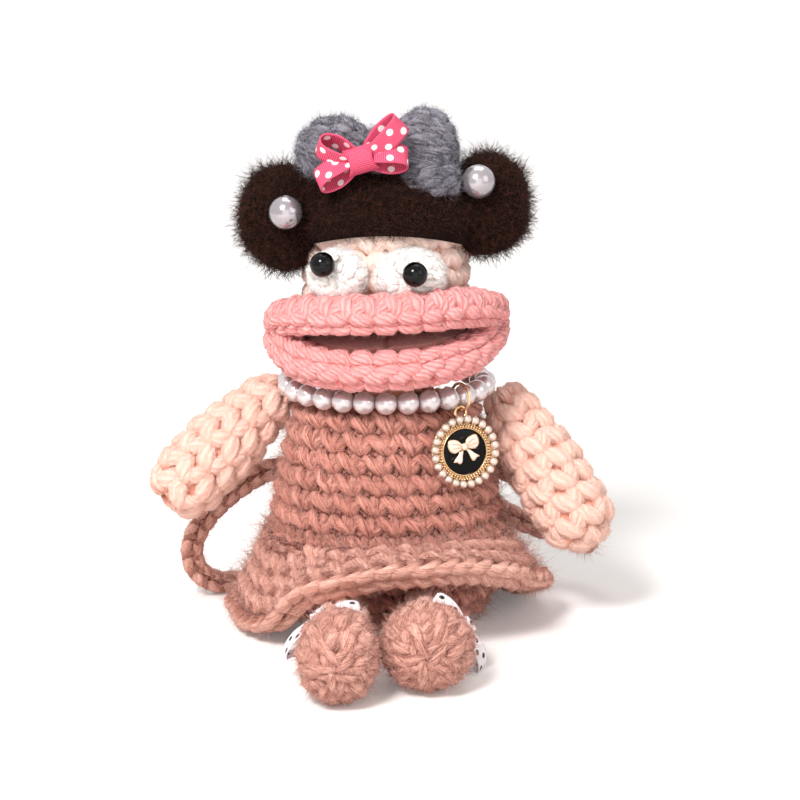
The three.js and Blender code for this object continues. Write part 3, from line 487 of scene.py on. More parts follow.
def yarn_finish(name, light, main, deep, twist=6.5, plies=3, ply_depth=0.4, streaks=18, painted_groove_shade=0.75,
                nap_share=0.3, **sockets):
    """Plied yarn: plies and fibres along each leg, with painted highlights, and painted shade in grooves and
    dives.
    """
    made, tree, shader = new_finish(name, **sockets)
    # light is a painted highlight colour, deep a painted shade colour, and main the yarn's own colour.
    light, main, deep = shade(light), shade(main), shade(deep)
    yarn_map = add(tree, "ShaderNodeUVMap", uv_map="yarn")
    split = add(tree, "ShaderNodeSeparateXYZ", {0: yarn_map.outputs[0]})
    along, around = split.outputs[0], split.outputs[1]
    own = add(tree, "ShaderNodeAttribute", attribute_name="own").outputs["Fac"]
    own_patch = calc(tree, "ADD", own, noise(tree, 260.0, 3.0))
    spiral = weighed(tree, around, float(plies), along, twist)
    start = calc(tree, "MULTIPLY", own_patch, 1.4)
    ply = calc(tree, "SINE", calc(tree, "MULTIPLY", calc(tree, "ADD", spiral, start), 2 * math.pi))
    ply = map_range(tree, ply, -1.0, 1.0)
    strand = add(tree, "ShaderNodeCombineXYZ", {0: calc(tree, "MULTIPLY", along, 2.2),
                                                1: calc(tree, "MULTIPLY", spiral, streaks / plies),
                                                2: calc(tree, "MULTIPLY", own, 90.0)}).outputs[0]
    fibre = add(tree, "ShaderNodeTexNoise", {"Vector": strand, "Detail": 3.0, "Scale": 1.0}).outputs[0]
    nap = noise(tree, 2400.0, 3.0)
    fibre = weighed(tree, fibre, 1 - nap_share, nap, nap_share)
    lit = weighed(tree, ply, ply_depth, fibre, 1.0)
    middle, half = 0.5 + 0.5 * ply_depth, 0.09 + 0.32 * ply_depth
    # Painted highlight: the ply crowns take the light colour, mixed with the fibres' own lighter streaks.
    highlight_and_streak_mask = map_range(tree, lit, middle - half, middle + half)
    # Painted shade in the grooves between plies, mixed with the fibres' own darker streaks.
    groove_shade_mask = map_range(tree, lit, middle - 1.5 * half, middle - 0.1 * half, painted_groove_shade, 0.0)
    # Painted shade at each leg's ends, where it dives between stitches.
    from_middle = calc(tree, "ABSOLUTE", calc(tree, "SUBTRACT", calc(tree, "MULTIPLY", along, 2.0), 1.0))
    dive_shade_mask = map_range(tree, from_middle, 0.42, 1.0, 0.0, 0.95, interpolation_type="SMOOTHSTEP")
    hue = map_range(tree, own_patch, 0.5, 1.5, 0.0, 0.45)
    colour = mix_colour(tree, hue, mix_colour(tree, highlight_and_streak_mask, main, light), main)
    colour = mix_colour(tree, calc(tree, "MAXIMUM", groove_shade_mask, dive_shade_mask), colour, deep)
    tree.links.new(colour, shader.inputs["Base Color"])
    emboss(tree, shader, weighed(tree, ply, 2 * ply_depth, fibre, 1.0), 1.0, 0.0008)
    return made


def clouded(name, a, b, scale, detail=2.0, edge=None, rough=None, bump=None, **sockets):
    """A finish that wanders between two colours, with optional edge, range of roughness and bump."""
    made, tree, shader = new_finish(name, **sockets)
    cloud = noise(tree, scale, detail)
    share = map_range(tree, cloud, *edge) if edge else cloud
    tree.links.new(mix_colour(tree, share, shade(a), shade(b)), shader.inputs["Base Color"])
    if rough:
        tree.links.new(map_range(tree, cloud, 0.0, 1.0, *rough), shader.inputs["Roughness"])
    if bump:
        emboss(tree, shader, cloud, *bump)
    return made


def ground_finish(name, main, deep, Roughness=1.0, **sockets):
    """A clouded, bumped cloth; under stitches it is painted dark, as painted shade between them."""
    return clouded(name, deep, main, scale=900.0, detail=4.0, bump=(0.8, 0.0006), Roughness=Roughness,
                   **sockets)


def fibre_finish(name, light, main, **sockets):
    """Loose fibres, each stretch a little lighter or darker."""
    return clouded(name, main, light, scale=700.0, detail=1.0, edge=(0.35, 0.65), rough=(0.6, 0.9), **sockets)


# In each yarn below, the first colour is a painted highlight and the last a painted shade.
mohair = dict(twist=1.6, ply_depth=0.1, streaks=26, Roughness=0.95, Sheen_Weight=0.2, Sheen_Roughness=0.5,
              Sheen_Tint=shade("#f4c4b8"))
dress_yarn = yarn_finish("dress_mohair", "#e5a594", "#b46e5e", "#6c3127", painted_groove_shade=0.85, **mohair)
# Painted shade: the dress ground is much darker than the yarn, for the shade between stitches.
dress_ground = ground_finish("dress_ground", "#7c4136", "#4a221a")
dress_fibre = fibre_finish("dress_fibre", "#e4b0a0", "#b07060", Sheen_Weight=0.2)

many = 1.0


def fibre_values(pattern, finish, per_cm2, length, seed, spread, width):
    """What the trees need for loose fibres: their count per square cm, sizes in mm and tilt in radians."""
    return dict(fibre=pattern, fibre_finish=finish, fibres_per_area=per_cm2 * 1e4 * many,
                fibre_length=length * MM, fibre_width=width * MM, spread=(spread, spread, 3.1), seed=seed)


def crochet(name, stitches, pattern, yarn, fibre, density, length, seed, spread=1.1, width=1.0):
    """A piece of crochet: stitches laid out by points, with loose fibres on them."""
    return worked_with(stitch_points(name, stitches), crochet_tree, stitch=pattern, yarn=yarn,
                       **fibre_values(short_fibre, fibre, density, length, seed, spread, width))


def brush(made, fibre, per_cm2, length, seed, spread=1.0, width=1.0, tree=fuzz_tree, pattern=hair_fibre):
    """Brushes loose fibres up out of a piece."""
    return worked_with(made, tree, **fibre_values(pattern, fibre, per_cm2, length, seed, spread, width))


def halo(made, fibre, per_cm2, length, seed):
    """Keeps only a veil of long loose fibres, which starts on a form's surface."""
    return brush(made, fibre, per_cm2, length, seed, spread=1.45, tree=halo_tree)


dress_depth = 0.82
dress_around = 56


def dress_surface(inset):
    """The dress's surface, or one that lies inside it by an inset."""
    side = smooth_line([(31 - inset, inset * 0.3), (38.5 - inset, 22), (33.5 - inset, 55),
                        (30 - inset, 70 - inset / 2)])
    outline = [(0, inset * 0.15), *side, (11.6, 75.2 - inset), (0, 75.4 - inset)]
    return turned(outline, Matrix.Diagonal((1, dress_depth, 1, 1)))


dress_body = form("dress_body", dress_surface(3.8), dress_ground, around=dress_around)
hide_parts("dress_bodice", "seat_panel", "body_stuffing")
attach(dress_body, "torso")

first_dress_row, dress_row = 32.8, 6.3
dress_stitches = rounds(dress_surface(3.4), [first_dress_row + dress_row * k for k in range(12)],
                        row=1.06 * dress_row, width=7.7, thick=7.2, seed=3, lean=-3, shift=0.4)
dress_rows = crochet("dress_rows", dress_stitches, v_stitch, dress_yarn, dress_fibre,
                     density=16, length=4.6, seed=11, width=0.8)
veil_rows = np.linspace(30, 98, 26)
dress_halo = loft("dress_halo", rings_of(dress_surface(1.6), veil_rows, dress_around))
mark_points(dress_halo, "out", [(*v.co.xy.normalized(), 0.5 - v.co.z / 0.07)
                                for v in dress_halo.data.vertices])
halo(dress_halo, dress_fibre, per_cm2=120, length=10, seed=10)
for made in (dress_rows, dress_halo):
    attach(made, "torso")

# Skirt ruffle. A waved band worked out of the dress: a row at its seam, rows that follow its hem, and a chain
# of stitches along the hem. It is gathered, stands out over the legs and rests on the floor behind.

# Painted light: the same dress mohair, painted lighter for the light on the ruffle, its hem and the hand
# loops.
lit_dress_yarn = yarn_finish("brushed_mohair", "#f2c1b0", "#d29686", "#a56856", painted_groove_shade=0.6, **mohair)
chain_stitch = yarn_pattern("chain_stitch_pattern", [
    ([(-0.02, -0.62, -0.36), (-0.17, -0.26, 0.1), (-0.29, 0.12, 0.12), (-0.2, 0.54, -0.4)], 0.26),
    ([(0.02, -0.6, -0.38), (0.18, -0.22, 0.08), (0.29, 0.16, 0.1), (0.2, 0.56, -0.42)], 0.26),
])

# Hem points: degrees round from the front, reach out from the dress and height.
ruffle_rim = [
    (0, 15, 28), (24, 15.5, 28.5), (45, 14, 24.5), (62, 9, 19), (82, 10, 15), (105, 10, 9), (132, 14, 4),
    (156, 11, 3.4), (180, 14, 3), (205, 11, 3.2), (230, 14, 3.6), (255, 11, 4.6), (278, 8, 6.5),
    (298, 9.5, 6), (317, 12, 9.5), (335, 15.5, 22), (360, 15, 28),
]
ruffle_line = smooth_line(ruffle_rim, 12)[:-1]
ruffle_inner, ruffle_top = 36.2, 30
lowest_hem, bell_flare = 3.2, 1.35


def ruffle_at(i, share):
    """A point of the ruffle at a step round it, from its seam, share 0, to its hem, share 1."""
    angle, reach, height = ruffle_line[i % len(ruffle_line)]
    angle = math.radians(angle)
    out = Vector((math.sin(angle), -math.cos(angle), 0))
    start = Vector((ruffle_inner * out.x, ruffle_inner * dress_depth * out.y, 0))
    spot = start + out * (reach + 1.4) * max(share, 0) ** bell_flare
    spot.z = ruffle_top + (max(height, lowest_hem) - ruffle_top) * share
    return spot


def ruffle_frame(i, share):
    """Place, upward normal, direction along the hem and direction out to the hem."""
    along = (ruffle_at(i + 1, share) - ruffle_at(i - 1, share)).normalized()
    out = (ruffle_at(i, min(share + 0.05, 1)) - ruffle_at(i, share - 0.05)).normalized()
    return ruffle_at(i, share), out.cross(along).normalized() * -1, along, out


def ruffle_band(name, thickness):
    """The ruffle's cloth as a closed ring of even thickness."""
    shares = np.linspace(0.02, 0.97, 9)
    count, width = len(ruffle_line), len(shares)
    vertices, faces = [], []
    for side in (0.5, -0.5):
        for i in range(count):
            for share in shares:
                spot, normal = ruffle_frame(i, share)[:2]
                vertices.append(spot + normal * thickness * side)
    low = count * width
    for i in range(count):
        a, b = i * width, (i + 1) % count * width
        for j in range(width - 1):
            faces.append((a + j, b + j, b + j + 1, a + j + 1))
            faces.append((low + a + j, low + a + j + 1, low + b + j + 1, low + b + j))
        faces.append((a, low + a, low + b, b))
        faces.append((a + width - 1, b + width - 1, low + b + width - 1, low + a + width - 1))
    return outwards(piece(name, vertices, faces, dress_ground))


def along_hem(pitch, make, from_hem=None, from_seam=None):
    """Stitches along the ruffle, out from its seam, or in from its hem where it is wide enough."""
    count = len(ruffle_line)
    narrowest = 4.5
    wide = [(ruffle_at(i, 0) - ruffle_at(i, 1)).length for i in range(count + 1)]
    shares = [from_seam / w if from_seam else 1 - from_hem / w for w in wide]
    run = run_along([ruffle_at(i, share) for i, share in enumerate(shares)])
    steps = round(run[-1] / pitch)
    spots = []
    for k in range(steps):
        i = int(np.argmin(np.abs(run - run[-1] * k / steps))) % count
        if from_seam or shares[i] * wide[i] > narrowest:
            spots.append(make(*ruffle_frame(i, shares[i])))
    return spots


ruffle_dice = random.Random(13)
ruffle_pitch, hem_pitch = 7.3, 5.6


def ruffle_stitch(side):
    """A stitch for the ruffle's upper side, 1, or its under side, -1."""
    def make(spot, normal, along, out):
        face = normal * side
        across = spin(ruffle_dice.uniform(-8, 8), face, 3) @ face.cross(out)
        return spot + face * 0.9, face, across, (7.7, 6.8, 6.0 * ruffle_dice.uniform(0.9, 1.1))
    return make


def hem_stitch(spot, normal, along, out):
    edge = (out + normal * 0.5).normalized()
    return spot + edge * 0.3 - Vector((0, 0, 1.4)), edge, along.cross(edge), (9.6, 9.4, 6.0)


skirt_ruffle = ruffle_band("ruffle_cloth", thickness=2.2)
ruffle_stitches = along_hem(ruffle_pitch, ruffle_stitch(1), from_seam=1.4)
for from_hem in (4.0, 10.2, 16.4, 22.6):
    for side in (1, -1):
        ruffle_stitches += along_hem(ruffle_pitch, ruffle_stitch(side), from_hem)
ruffle_rows = crochet("ruffle_rows", ruffle_stitches, v_stitch, lit_dress_yarn, dress_fibre,
                      density=20, length=4.6, seed=12, width=0.8)
hem_chain = crochet("hem_chain", along_hem(hem_pitch, hem_stitch, -0.6), chain_stitch, lit_dress_yarn,
                    dress_fibre, density=120, length=4.2, seed=15, width=0.7)
ruffle_halo = ruffle_band("ruffle_halo", thickness=5.4)
halo(ruffle_halo, dress_fibre, per_cm2=105, length=11, seed=14)
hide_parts("skirt_ruffle")
for made in (skirt_ruffle, ruffle_rows, hem_chain, ruffle_halo):
    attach(made, "torso")

# Hand loops. Two chain cords crocheted from the dress yarn and sewn to the sides and back of the dress,
# for the little fingers of the hand that works the doll. The right one ends under the hem.

right_loop_route = [
    (-30.2, 13.4, 45.2), (-35.2, 15.8, 44.2), (-39.1, 17.2, 42.8), (-42.8, 18, 40.8), (-46.4, 18.4, 38.4),
    (-49.9, 18.5, 35.8), (-53.2, 18.3, 33), (-56.3, 18.1, 30), (-59.1, 17.8, 26.7), (-61.4, 17.6, 23.1),
    (-63, 17.6, 19.1), (-63.4, 17.9, 14.9), (-62.5, 18.8, 10.8), (-60.3, 20.2, 7.3), (-57.2, 22, 4.9),
    (-53.6, 24, 3.7), (-49.8, 26, 3.4), (-45.6, 27.5, 3.6),
]
left_loop_route = [
    (31.2, 11.6, 46.9), (36.8, 14.3, 44.8), (41.1, 15.5, 42.2), (45.1, 15.7, 38.9), (48.9, 15.2, 35.4),
    (52.5, 14.5, 31.7), (56.1, 14, 28), (59.7, 14.3, 24.4), (63, 16.4, 21.1), (65.2, 20.4, 18.6),
    (65.4, 25.3, 17.1), (63.6, 30.1, 16.6), (60.1, 33.9, 16.8), (55.5, 36.2, 17.6), (50.6, 37.1, 18.9),
    (45.8, 37.1, 20.7), (41.2, 36.4, 23), (36.9, 35, 25.6), (33.1, 33, 28.4), (29.5, 30.6, 31.3),
    (25.9, 27.9, 34), (21.4, 24.5, 37),
]
loop_thickness = 5
link_pitch, link_size = 5.4, (7.2, 7.6, 5.8)


def tube(name, line, radius, material, sides=12, closed=False):
    """A round tube along a line of points, with closed ends or joined into a ring."""
    line = [Vector(p) for p in line]
    count = len(line)
    rings = []
    side = None
    for i, p in enumerate(line):
        if closed:
            ahead = line[(i + 1) % count] - line[i - 1]
        else:
            ahead = line[min(i + 1, count - 1)] - line[max(i - 1, 0)]
        ahead.normalize()
        side = ahead.orthogonal() if side is None else side - ahead * side.dot(ahead)
        side.normalize()
        rise = ahead.cross(side)
        rings.append([p + (side * math.cos(t) + rise * math.sin(t)) * radius for t in round_angles(sides)])
    if not closed:
        return loft(name, rings, material)
    vertices = [v for ring in rings for v in ring]
    faces = [(k * sides + j, k * sides + (j + 1) % sides, (k + 1) % count * sides + (j + 1) % sides,
              (k + 1) % count * sides + j) for k in range(count) for j in range(sides)]
    return outwards(piece(name, vertices, faces, material))


for side, route, length, seed in (
    ("right", right_loop_route, 0.0765, 21),
    ("left", left_loop_route, 0.1115, 22),
):
    line = smooth_line(route, 6)
    run = run_along(line)
    cord = tube(side + "_loop_cord", line, loop_thickness / 2 - 0.55, dress_ground)
    spots = []
    for k in range(int(run[-1] / link_pitch)):
        here = spot_on(line, run, (k + 0.5) * link_pitch)
        near = int(np.argmin(np.linalg.norm(line - np.array(here), axis=1)))
        ahead = Vector(line[min(near + 2, len(line) - 1)] - line[max(near - 2, 0)]).normalized()
        face = Vector((0.12, -1, 0.35))
        face = (face - ahead * ahead.dot(face)).normalized()
        spots += [(here + out * 0.5, out, ahead.cross(out), link_size) for out in (face, -face)]
    links = crochet(side + "_loop_chain", spots, chain_stitch, lit_dress_yarn, dress_fibre,
                    density=30, length=3.6, seed=seed)
    veil = tube(side + "_loop_halo", line, loop_thickness / 2, dress_ground)
    halo(veil, dress_fibre, per_cm2=160, length=8, seed=seed + 2)
    for made in (cord, links, veil):
        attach(made, "torso")
    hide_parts(side + "_hand_loop")
    [c * MM for c in line[0]]

# Pearl necklace. Twenty-seven 7 mm plastic pearls with a nacre coat, each bored through and strung on white
# cotton thread. The string lies round the neck on the top of the dress.

pearl_count, pearl_size = 27, (6.98, 7, 7)
necklace_height, necklace_dip = 75.7, 1.2
necklace_half_width, necklace_half_depth = 30.8, 26.2


def bored_ball(name, bore=0.11, around=20, rows=12):
    """A pattern pearl of unit width with a thread hole along its X axis."""
    tilt = math.asin(2 * bore)
    line = [(0.5 * math.sin(t), -0.5 * math.cos(t)) for t in np.linspace(tilt, math.pi - tilt, rows)]
    line = [(bore * 0.8, -0.3), (bore * 0.92, -0.485)] + line + [(bore * 0.92, 0.485), (bore * 0.8, 0.3)]
    turn = spin(90, "Y")
    return loft(name, [[turn @ Vector((r * math.cos(a), r * math.sin(a), h)) / MM
                        for a in round_angles(around)] for r, h in line])


def strung(name, spots, pattern, material):
    """Pearls or beads at places, each with two directions and a size."""
    return worked_with(stitch_points(name, spots), crochet_tree, stitch=pattern, yarn=material,
                       fibre=hair_fibre, fibres_per_area=0.0)


def pearl_finish(name, tint, cast, nacre):
    """Nacre lacquer: a clouded body colour with a metallic share and a hard clear coat."""
    return clouded(name, tint, cast, scale=220.0, Metallic=nacre, Roughness=0.2, Coat_Weight=0.8,
                   Coat_Roughness=0.04)


pearl_pattern = bored_ball("pearl_pattern")
white_pearl = pearl_finish("white_pearl", "#ddd3d3", "#c3b8bb", nacre=0.55)
string = [(necklace_half_width * math.cos(t), necklace_half_depth * math.sin(t),
           necklace_height + necklace_dip * min(math.sin(t), 0))
          for t in np.linspace(-math.pi / 2, 1.5 * math.pi, 721)]
run = run_along(string)
oval = necklace_half_width / necklace_half_depth
pearls = []
for k in range(pearl_count):
    here = spot_on(string, run, run[-1] * k / pearl_count)
    along = Vector((-here.y * oval, here.x / oval, 0)).normalized()
    pearls.append((here, Vector((0, 0, 1)), along, pearl_size))
necklace = strung("necklace_pearls", pearls, pearl_pattern, white_pearl)
thread_cotton = ground_finish("sewing_cotton", "#f6f3ee", "#d8d2c8", Roughness=0.7)
necklace_thread = tube("necklace_thread", string[:-1:6], radius=0.32, material=thread_cotton, sides=8,
                       closed=True)
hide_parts("pearl_necklace")
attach(necklace, "torso")
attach(necklace_thread, "torso")

# Neck and jaw. The neck is a small stuffed plug; the jaw is a peach crocheted bowl with a pocket for the
# thumb at the back, sloped behind so that the head can tip back over it.

acrylic = dict(twist=3.0, plies=6, ply_depth=0.2, streaks=36, nap_share=0.5, Roughness=1.0, Sheen_Weight=0.3,
               Sheen_Roughness=0.4, Sheen_Tint=shade("#fde6dc"))
skin_yarn = yarn_finish("skin_yarn", "#f8d1c2", "#f3c1af", "#e49379", painted_groove_shade=0.4, **acrylic)
# Painted shade: the skin ground is a darker salmon than the yarn, for the shade between stitches.
skin_ground = ground_finish("skin_ground", "#f0b199", "#e49a80")
# A lighter copy of the skin ground, as painted light on face and jaw, still darker than the yarn as painted
# shade.
face_ground = ground_finish("face_ground", "#f6c8b5", "#eeb49e")
skin_fibre = fibre_finish("skin_fibre", "#fce3d8", "#f7cbb9")

neck_line = smooth_line([(0, 65), (5.6, 65.2), (6.8, 67.4), (8.9, 72), (6.4, 78.2), (0, 80.8)], 8)
neck = form("neck_stuffing", turned(neck_line), skin_ground, around=24, step=2)
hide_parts("neck_plug")
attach(neck, "neck")

hinge_depth, hinge_height = 14, 94.6
mouth_half_angle = math.asin(2.8 / 48)
jaw_slope = math.radians(38)
jaw_length = 1.08

puff_stitch = yarn_pattern("puff_stitch_pattern", [
    ([(0.0, -0.62, -0.42), (-0.17, -0.24, 0.02), (-0.28, 0.2, 0.08), (-0.3, 0.62, -0.38)], 0.36),
    ([(0.06, -0.6, -0.44), (0.2, -0.22, -0.03), (0.3, 0.18, 0.03), (0.31, 0.58, -0.4)], 0.33),
])
bar_stitch = yarn_pattern("bar_stitch_pattern", [
    ([(-0.5, 0.14, -0.46), (-0.3, 0.24, 0.08), (0.26, 0.25, 0.12), (0.5, 0.12, -0.42)], 0.3),
    ([(-0.5, -0.14, -0.48), (-0.26, -0.26, 0.06), (0.3, -0.22, 0.1), (0.5, -0.12, -0.44)], 0.29),
], sides=8, steps=5)


def cut_box(made, low, high):
    """Cuts a box out of a closed piece."""
    corners = [(x, y, z) for x in (low[0], high[0]) for y in (low[1], high[1]) for z in (low[2], high[2])]
    cutter = piece("cutter", corners, [(0, 1, 3, 2), (4, 6, 7, 5), (0, 4, 5, 1), (2, 3, 7, 6), (0, 2, 6, 4),
                                       (1, 5, 7, 3)])
    step = made.modifiers.new("pocket", "BOOLEAN")
    step.object = cutter
    step.operation = "DIFFERENCE"
    settle(made)
    bpy.data.objects.remove(cutter)


def limited(surface, limit):
    """A surface whose points are held by a limit, such as a plane that they stay under."""
    def at(turns, along):
        return limit(surface(turns, along))

    at.length = surface.length
    return at


def below_mouth(p, clear=2.6):
    """Keeps a jaw point under the mouth plane and under the slope behind the hinge."""
    roof = hinge_height - max(hinge_depth - p.y, 0) * math.tan(mouth_half_angle) - clear
    if p.y > hinge_depth:
        roof = hinge_height - clear - (p.y - hinge_depth) * math.tan(jaw_slope)
    return Vector((p.x, p.y, min(p.z, roof)))


def jaw_surface(inset):
    bottom = 78 + inset * 0.3
    outline = [(0, bottom), (15 - inset * 0.6, bottom), (25.4 - inset, 87), (25.4 - inset, 95), (0, 95)]
    return limited(turned(outline, Matrix.Diagonal((1, jaw_length, 1, 1))), below_mouth)


def edge_stitches(line, middle, size):
    """Stitches lying along the edge of an opening, each facing away from a middle point."""
    run = run_along(line)
    count = round(run[-1] / size[0])
    spots = []
    for k in range(count):
        middle_run = run[-1] * (k + 0.5) / count
        here, back, ahead = [spot_on(line, run, middle_run + d) for d in (0, -0.5, 0.5)]
        along = (ahead - back).normalized()
        out = here - Vector(middle)
        spots.append((here, (out - along * out.dot(along)).normalized(), along, size))
    return spots


def in_thumb_pocket(p):
    return abs(p.x) < 13 and p.y > 8 and p.z > 81


jaw = outwards(form("jaw_stuffing", jaw_surface(2.8), face_ground, around=48, step=1.5))
cut_box(jaw, low=(-13, -14, 83.6), high=(13, 60, 89.4))
brush(jaw, skin_fibre, per_cm2=90, length=1.8, seed=33, spread=1.3, width=0.8, pattern=short_fibre)
jaw_rim = [(x, jaw_length * math.sqrt(18.1 ** 2 - x ** 2), 82.6) for x in np.linspace(-14.5, 14.5, 15)]
jaw_edge = crochet("jaw_pocket_edge", edge_stitches(jaw_rim, (0, 0, 86), (6.6, 5.6, 5.4)), bar_stitch,
                   skin_yarn, skin_fibre, density=120, length=1.6, seed=32, width=0.7)
jaw_stitches = rounds(jaw_surface(2.6), [18, 25], row=7.0, width=8.0, thick=6.2, seed=5, shift=0.3,
                      keep=lambda p: p.z < 88 and not in_thumb_pocket(p))
jaw_rows = crochet("jaw_rows", jaw_stitches, puff_stitch, skin_yarn, skin_fibre,
                   density=120, length=1.6, seed=31, width=0.7)
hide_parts("jaw_shell")
for made in (jaw, jaw_rows, jaw_edge):
    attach(made, "lower_head")

# Lips. One thick salmon roll all round the mouth, worked in chunky rows.
# Rows of lying bars run next to the mouth, and rows of plump slanted stitches lie outside them.

lip_radius, lip_reach, lip_half_width = 5.6, 34, 31.9
lip_yarn = yarn_finish("lip_yarn", "#fbb4b1", "#f19693", "#d16361", twist=6.0, plies=6, ply_depth=0.3,
                       streaks=34, painted_groove_shade=0.55, nap_share=0.4, Roughness=0.95, Sheen_Weight=0.2,
                       Sheen_Roughness=0.4)
# Painted shade: the lip ground is darker than the yarn, for the shade between stitches.
lip_ground = ground_finish("lip_ground", "#dd6f6d", "#b94a49")
lip_fibre = fibre_finish("lip_fibre", "#ffd0cc", "#f8a6a3")
plump_stitch = yarn_pattern("plump_stitch_pattern", [
    ([(-0.54, 0.42, -0.36), (-0.32, 0.22, 0.08), (0.0, -0.12, 0.1), (0.22, -0.48, -0.4)], 0.38),
    ([(0.46, 0.44, -0.4), (0.42, 0.18, 0.0), (0.34, -0.12, 0.02), (0.28, -0.46, -0.42)], 0.35),
], sides=8, steps=5)
mouth_skew = 0.045


def in_mouth(p, direction):
    """From the flat mouth frame to the doll: tilted up for the head, down for the jaw, and a little askew."""
    turn = Matrix.Rotation(-direction * mouth_half_angle, 3, "X")
    return turn @ Vector(p) + Vector((0, hinge_depth, hinge_height + mouth_skew * p[0]))


def lip_at(direction, turn, angle, radius):
    """A point on a lip: turn runs from corner to corner, angle goes round the roll from the front."""
    bend = max(-math.pi / 2, min(math.pi / 2, turn))
    rise = lip_radius * math.sqrt(max(0, 1 - abs(math.sin(bend)) ** 6))
    out = Vector((lip_reach * math.sin(turn), -lip_half_width * math.cos(turn), 0)).normalized()
    centre = Vector((lip_half_width * math.sin(turn), -lip_reach * math.cos(turn) - hinge_depth,
                     direction * rise))
    p = centre + out * radius * math.cos(angle) + Vector((0, 0, direction * radius * math.sin(angle)))
    p.z = direction * max(direction * p.z, 0.05)
    return in_mouth(p, direction)


def lip_row(direction, degrees, size, sink, seed, offset=0):
    """Stitches along one lip at an angle round its roll."""
    dice = random.Random(seed)
    angle = math.radians(degrees)
    turns = np.linspace(-1.62, 1.62, 240)
    run = run_along([lip_at(direction, t, angle, lip_radius) for t in turns])
    count = round(run[-1] / size[0])
    spots = []
    for k in range(count):
        turn = np.interp(run[-1] * (k + 0.5 + offset) / count, run, turns)
        here, core = [lip_at(direction, turn, angle, radius) for radius in (lip_radius - sink, 0.5)]
        back, ahead = [lip_at(direction, turn + step, angle, lip_radius) for step in (-0.02, 0.02)]
        across = (ahead - back).normalized()
        out = here - core
        out = (out - across * out.dot(across)).normalized()
        across = spin(dice.uniform(-7, 7), out, 3) @ across
        spots.append((here, out, across, tuple(c * dice.uniform(0.95, 1.08) for c in size)))
    return spots


lip_pieces = []
for side, direction in (("lower", -1), ("upper", 1)):
    rings = [[lip_at(direction, turn, direction * angle, lip_radius - 2.4) for angle in round_angles(20)]
             for turn in np.linspace(-1.6, 1.6, 60)]
    roll = outwards(loft(side + "_lip_roll", rings, lip_ground))
    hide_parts(side + "_lip")
    bars = lip_row(direction, degrees=-32, size=(7.2, 7.0, 7.2), sink=2.3, seed=40 + direction)
    bars += lip_row(direction, degrees=-100, size=(7.2, 6.8, 6.0), sink=2.3, seed=50 + direction, offset=0.5)
    front = lip_row(direction, degrees=38, size=(7.4, 7.2, 7.2), sink=2.4, seed=60 + direction, offset=0.5)
    vees = lip_row(direction, degrees=104, size=(8.2, 7.2, 7.0), sink=2.4, seed=70 + direction)
    vees += lip_row(direction, degrees=168, size=(8.2, 7.2, 7.0), sink=2.6, seed=80 + direction, offset=0.5)
    if side == "lower":
        bars += front
    else:
        vees += front
    lip_pieces.append(roll)
    for name, stitches, pattern, seed in (("bars", bars, bar_stitch, 41), ("vees", vees, plump_stitch, 42)):
        lip_pieces.append(crochet(side + "_lip_" + name, stitches, pattern, lip_yarn, lip_fibre,
                                  density=110, length=1.7, seed=seed, width=0.7))

# Mouth lining. One piece of dusky-pink felted cloth, folded at the hinge and sewn in behind the lips; its
# colour is painted lighter and redder for the light that the lips throw in. It has a raised seam down its
# middle and a short nap.

# Painted light: the felt and its nap are lighter and redder than the cloth, for light thrown in by the lips.
lining_felt = ground_finish("lining_felt", "#f0b3a8", "#bd7a70", Sheen_Weight=0.3)
lining_fibre = fibre_finish("lining_fibre", "#f2c0b6", "#c4847a")
lining_half_width, lining_front, lining_thickness = 26, 41.6, 1.9


def lining_point(direction, back, side, lift):
    """A point on the lining: back is the distance from the hinge, side from -1 to 1 across."""
    y = hinge_depth - back
    half = lining_half_width - 6 * y / 13.6
    if y < 0:
        half = lining_half_width * math.sqrt(max(0, 1 - (y / 28.1) ** 2))
    ripple = 0.35 * math.sin(side * 9 + back * 0.21) * math.sin(back * 0.33)
    seam = 0.9 * math.exp(-(side * half / 0.9) ** 2)
    height = 0.25 + lift + seam * (lift < 1) + ripple * 0.4
    return in_mouth((side * half, -back, direction * height), direction)


lining_steps = np.linspace(0.6, lining_front, 26)
lining_runs = [(-1, back) for back in lining_steps[::-1]] + [(1, back) for back in lining_steps]
across = np.linspace(-1, 1, 33)
vertices = [lining_point(direction, back, side, lift) for lift in (0, lining_thickness)
            for direction, back in lining_runs for side in across]
faces = []
width, low = len(across), len(lining_runs) * len(across)
for k in range(len(lining_runs) - 1):
    for j in range(width - 1):
        a = k * width + j
        faces.append((a, a + 1, a + width + 1, a + width))
        faces.append((low + a, low + a + width, low + a + width + 1, low + a + 1))
    for j in (0, width - 1):
        a = k * width + j
        faces.append((a, a + width, low + a + width, low + a))
for a in (0, low - width):
    faces += [(a + j, a + j + 1, low + a + j + 1, low + a + j) for j in range(width - 1)]
lining = outwards(piece("lining_fold", vertices, faces, lining_felt))
brush(lining, lining_fibre, per_cm2=60, length=1.6, seed=45, spread=1.2, width=1.1, pattern=short_fibre)
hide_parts("lower_mouth_lining", "upper_mouth_lining")
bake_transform(lining)
for made in lip_pieces:
    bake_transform(made)

# Upper head. A stuffed peach dome crocheted in rounds, open behind under the hair for two or three fingers.
# The opening is edged with a row of lying bars.

# Painted light: a lighter copy of the skin yarn, for the brighter light on the face.
face_yarn = yarn_finish("face_yarn", "#fee6dc", "#fbdacc", "#f0b8a3", painted_groove_shade=0.35, **acrylic)
head_depth, head_bottom = 0.96, 95
head_radius, dome_start, dome_rise = 26, 128, 15


def above_mouth(p, clear=2.5):
    """Keeps a head point above the mouth plane."""
    floor_here = hinge_height + (hinge_depth - p.y) * math.tan(mouth_half_angle) + clear
    return Vector((p.x, p.y, max(p.z, floor_here)))


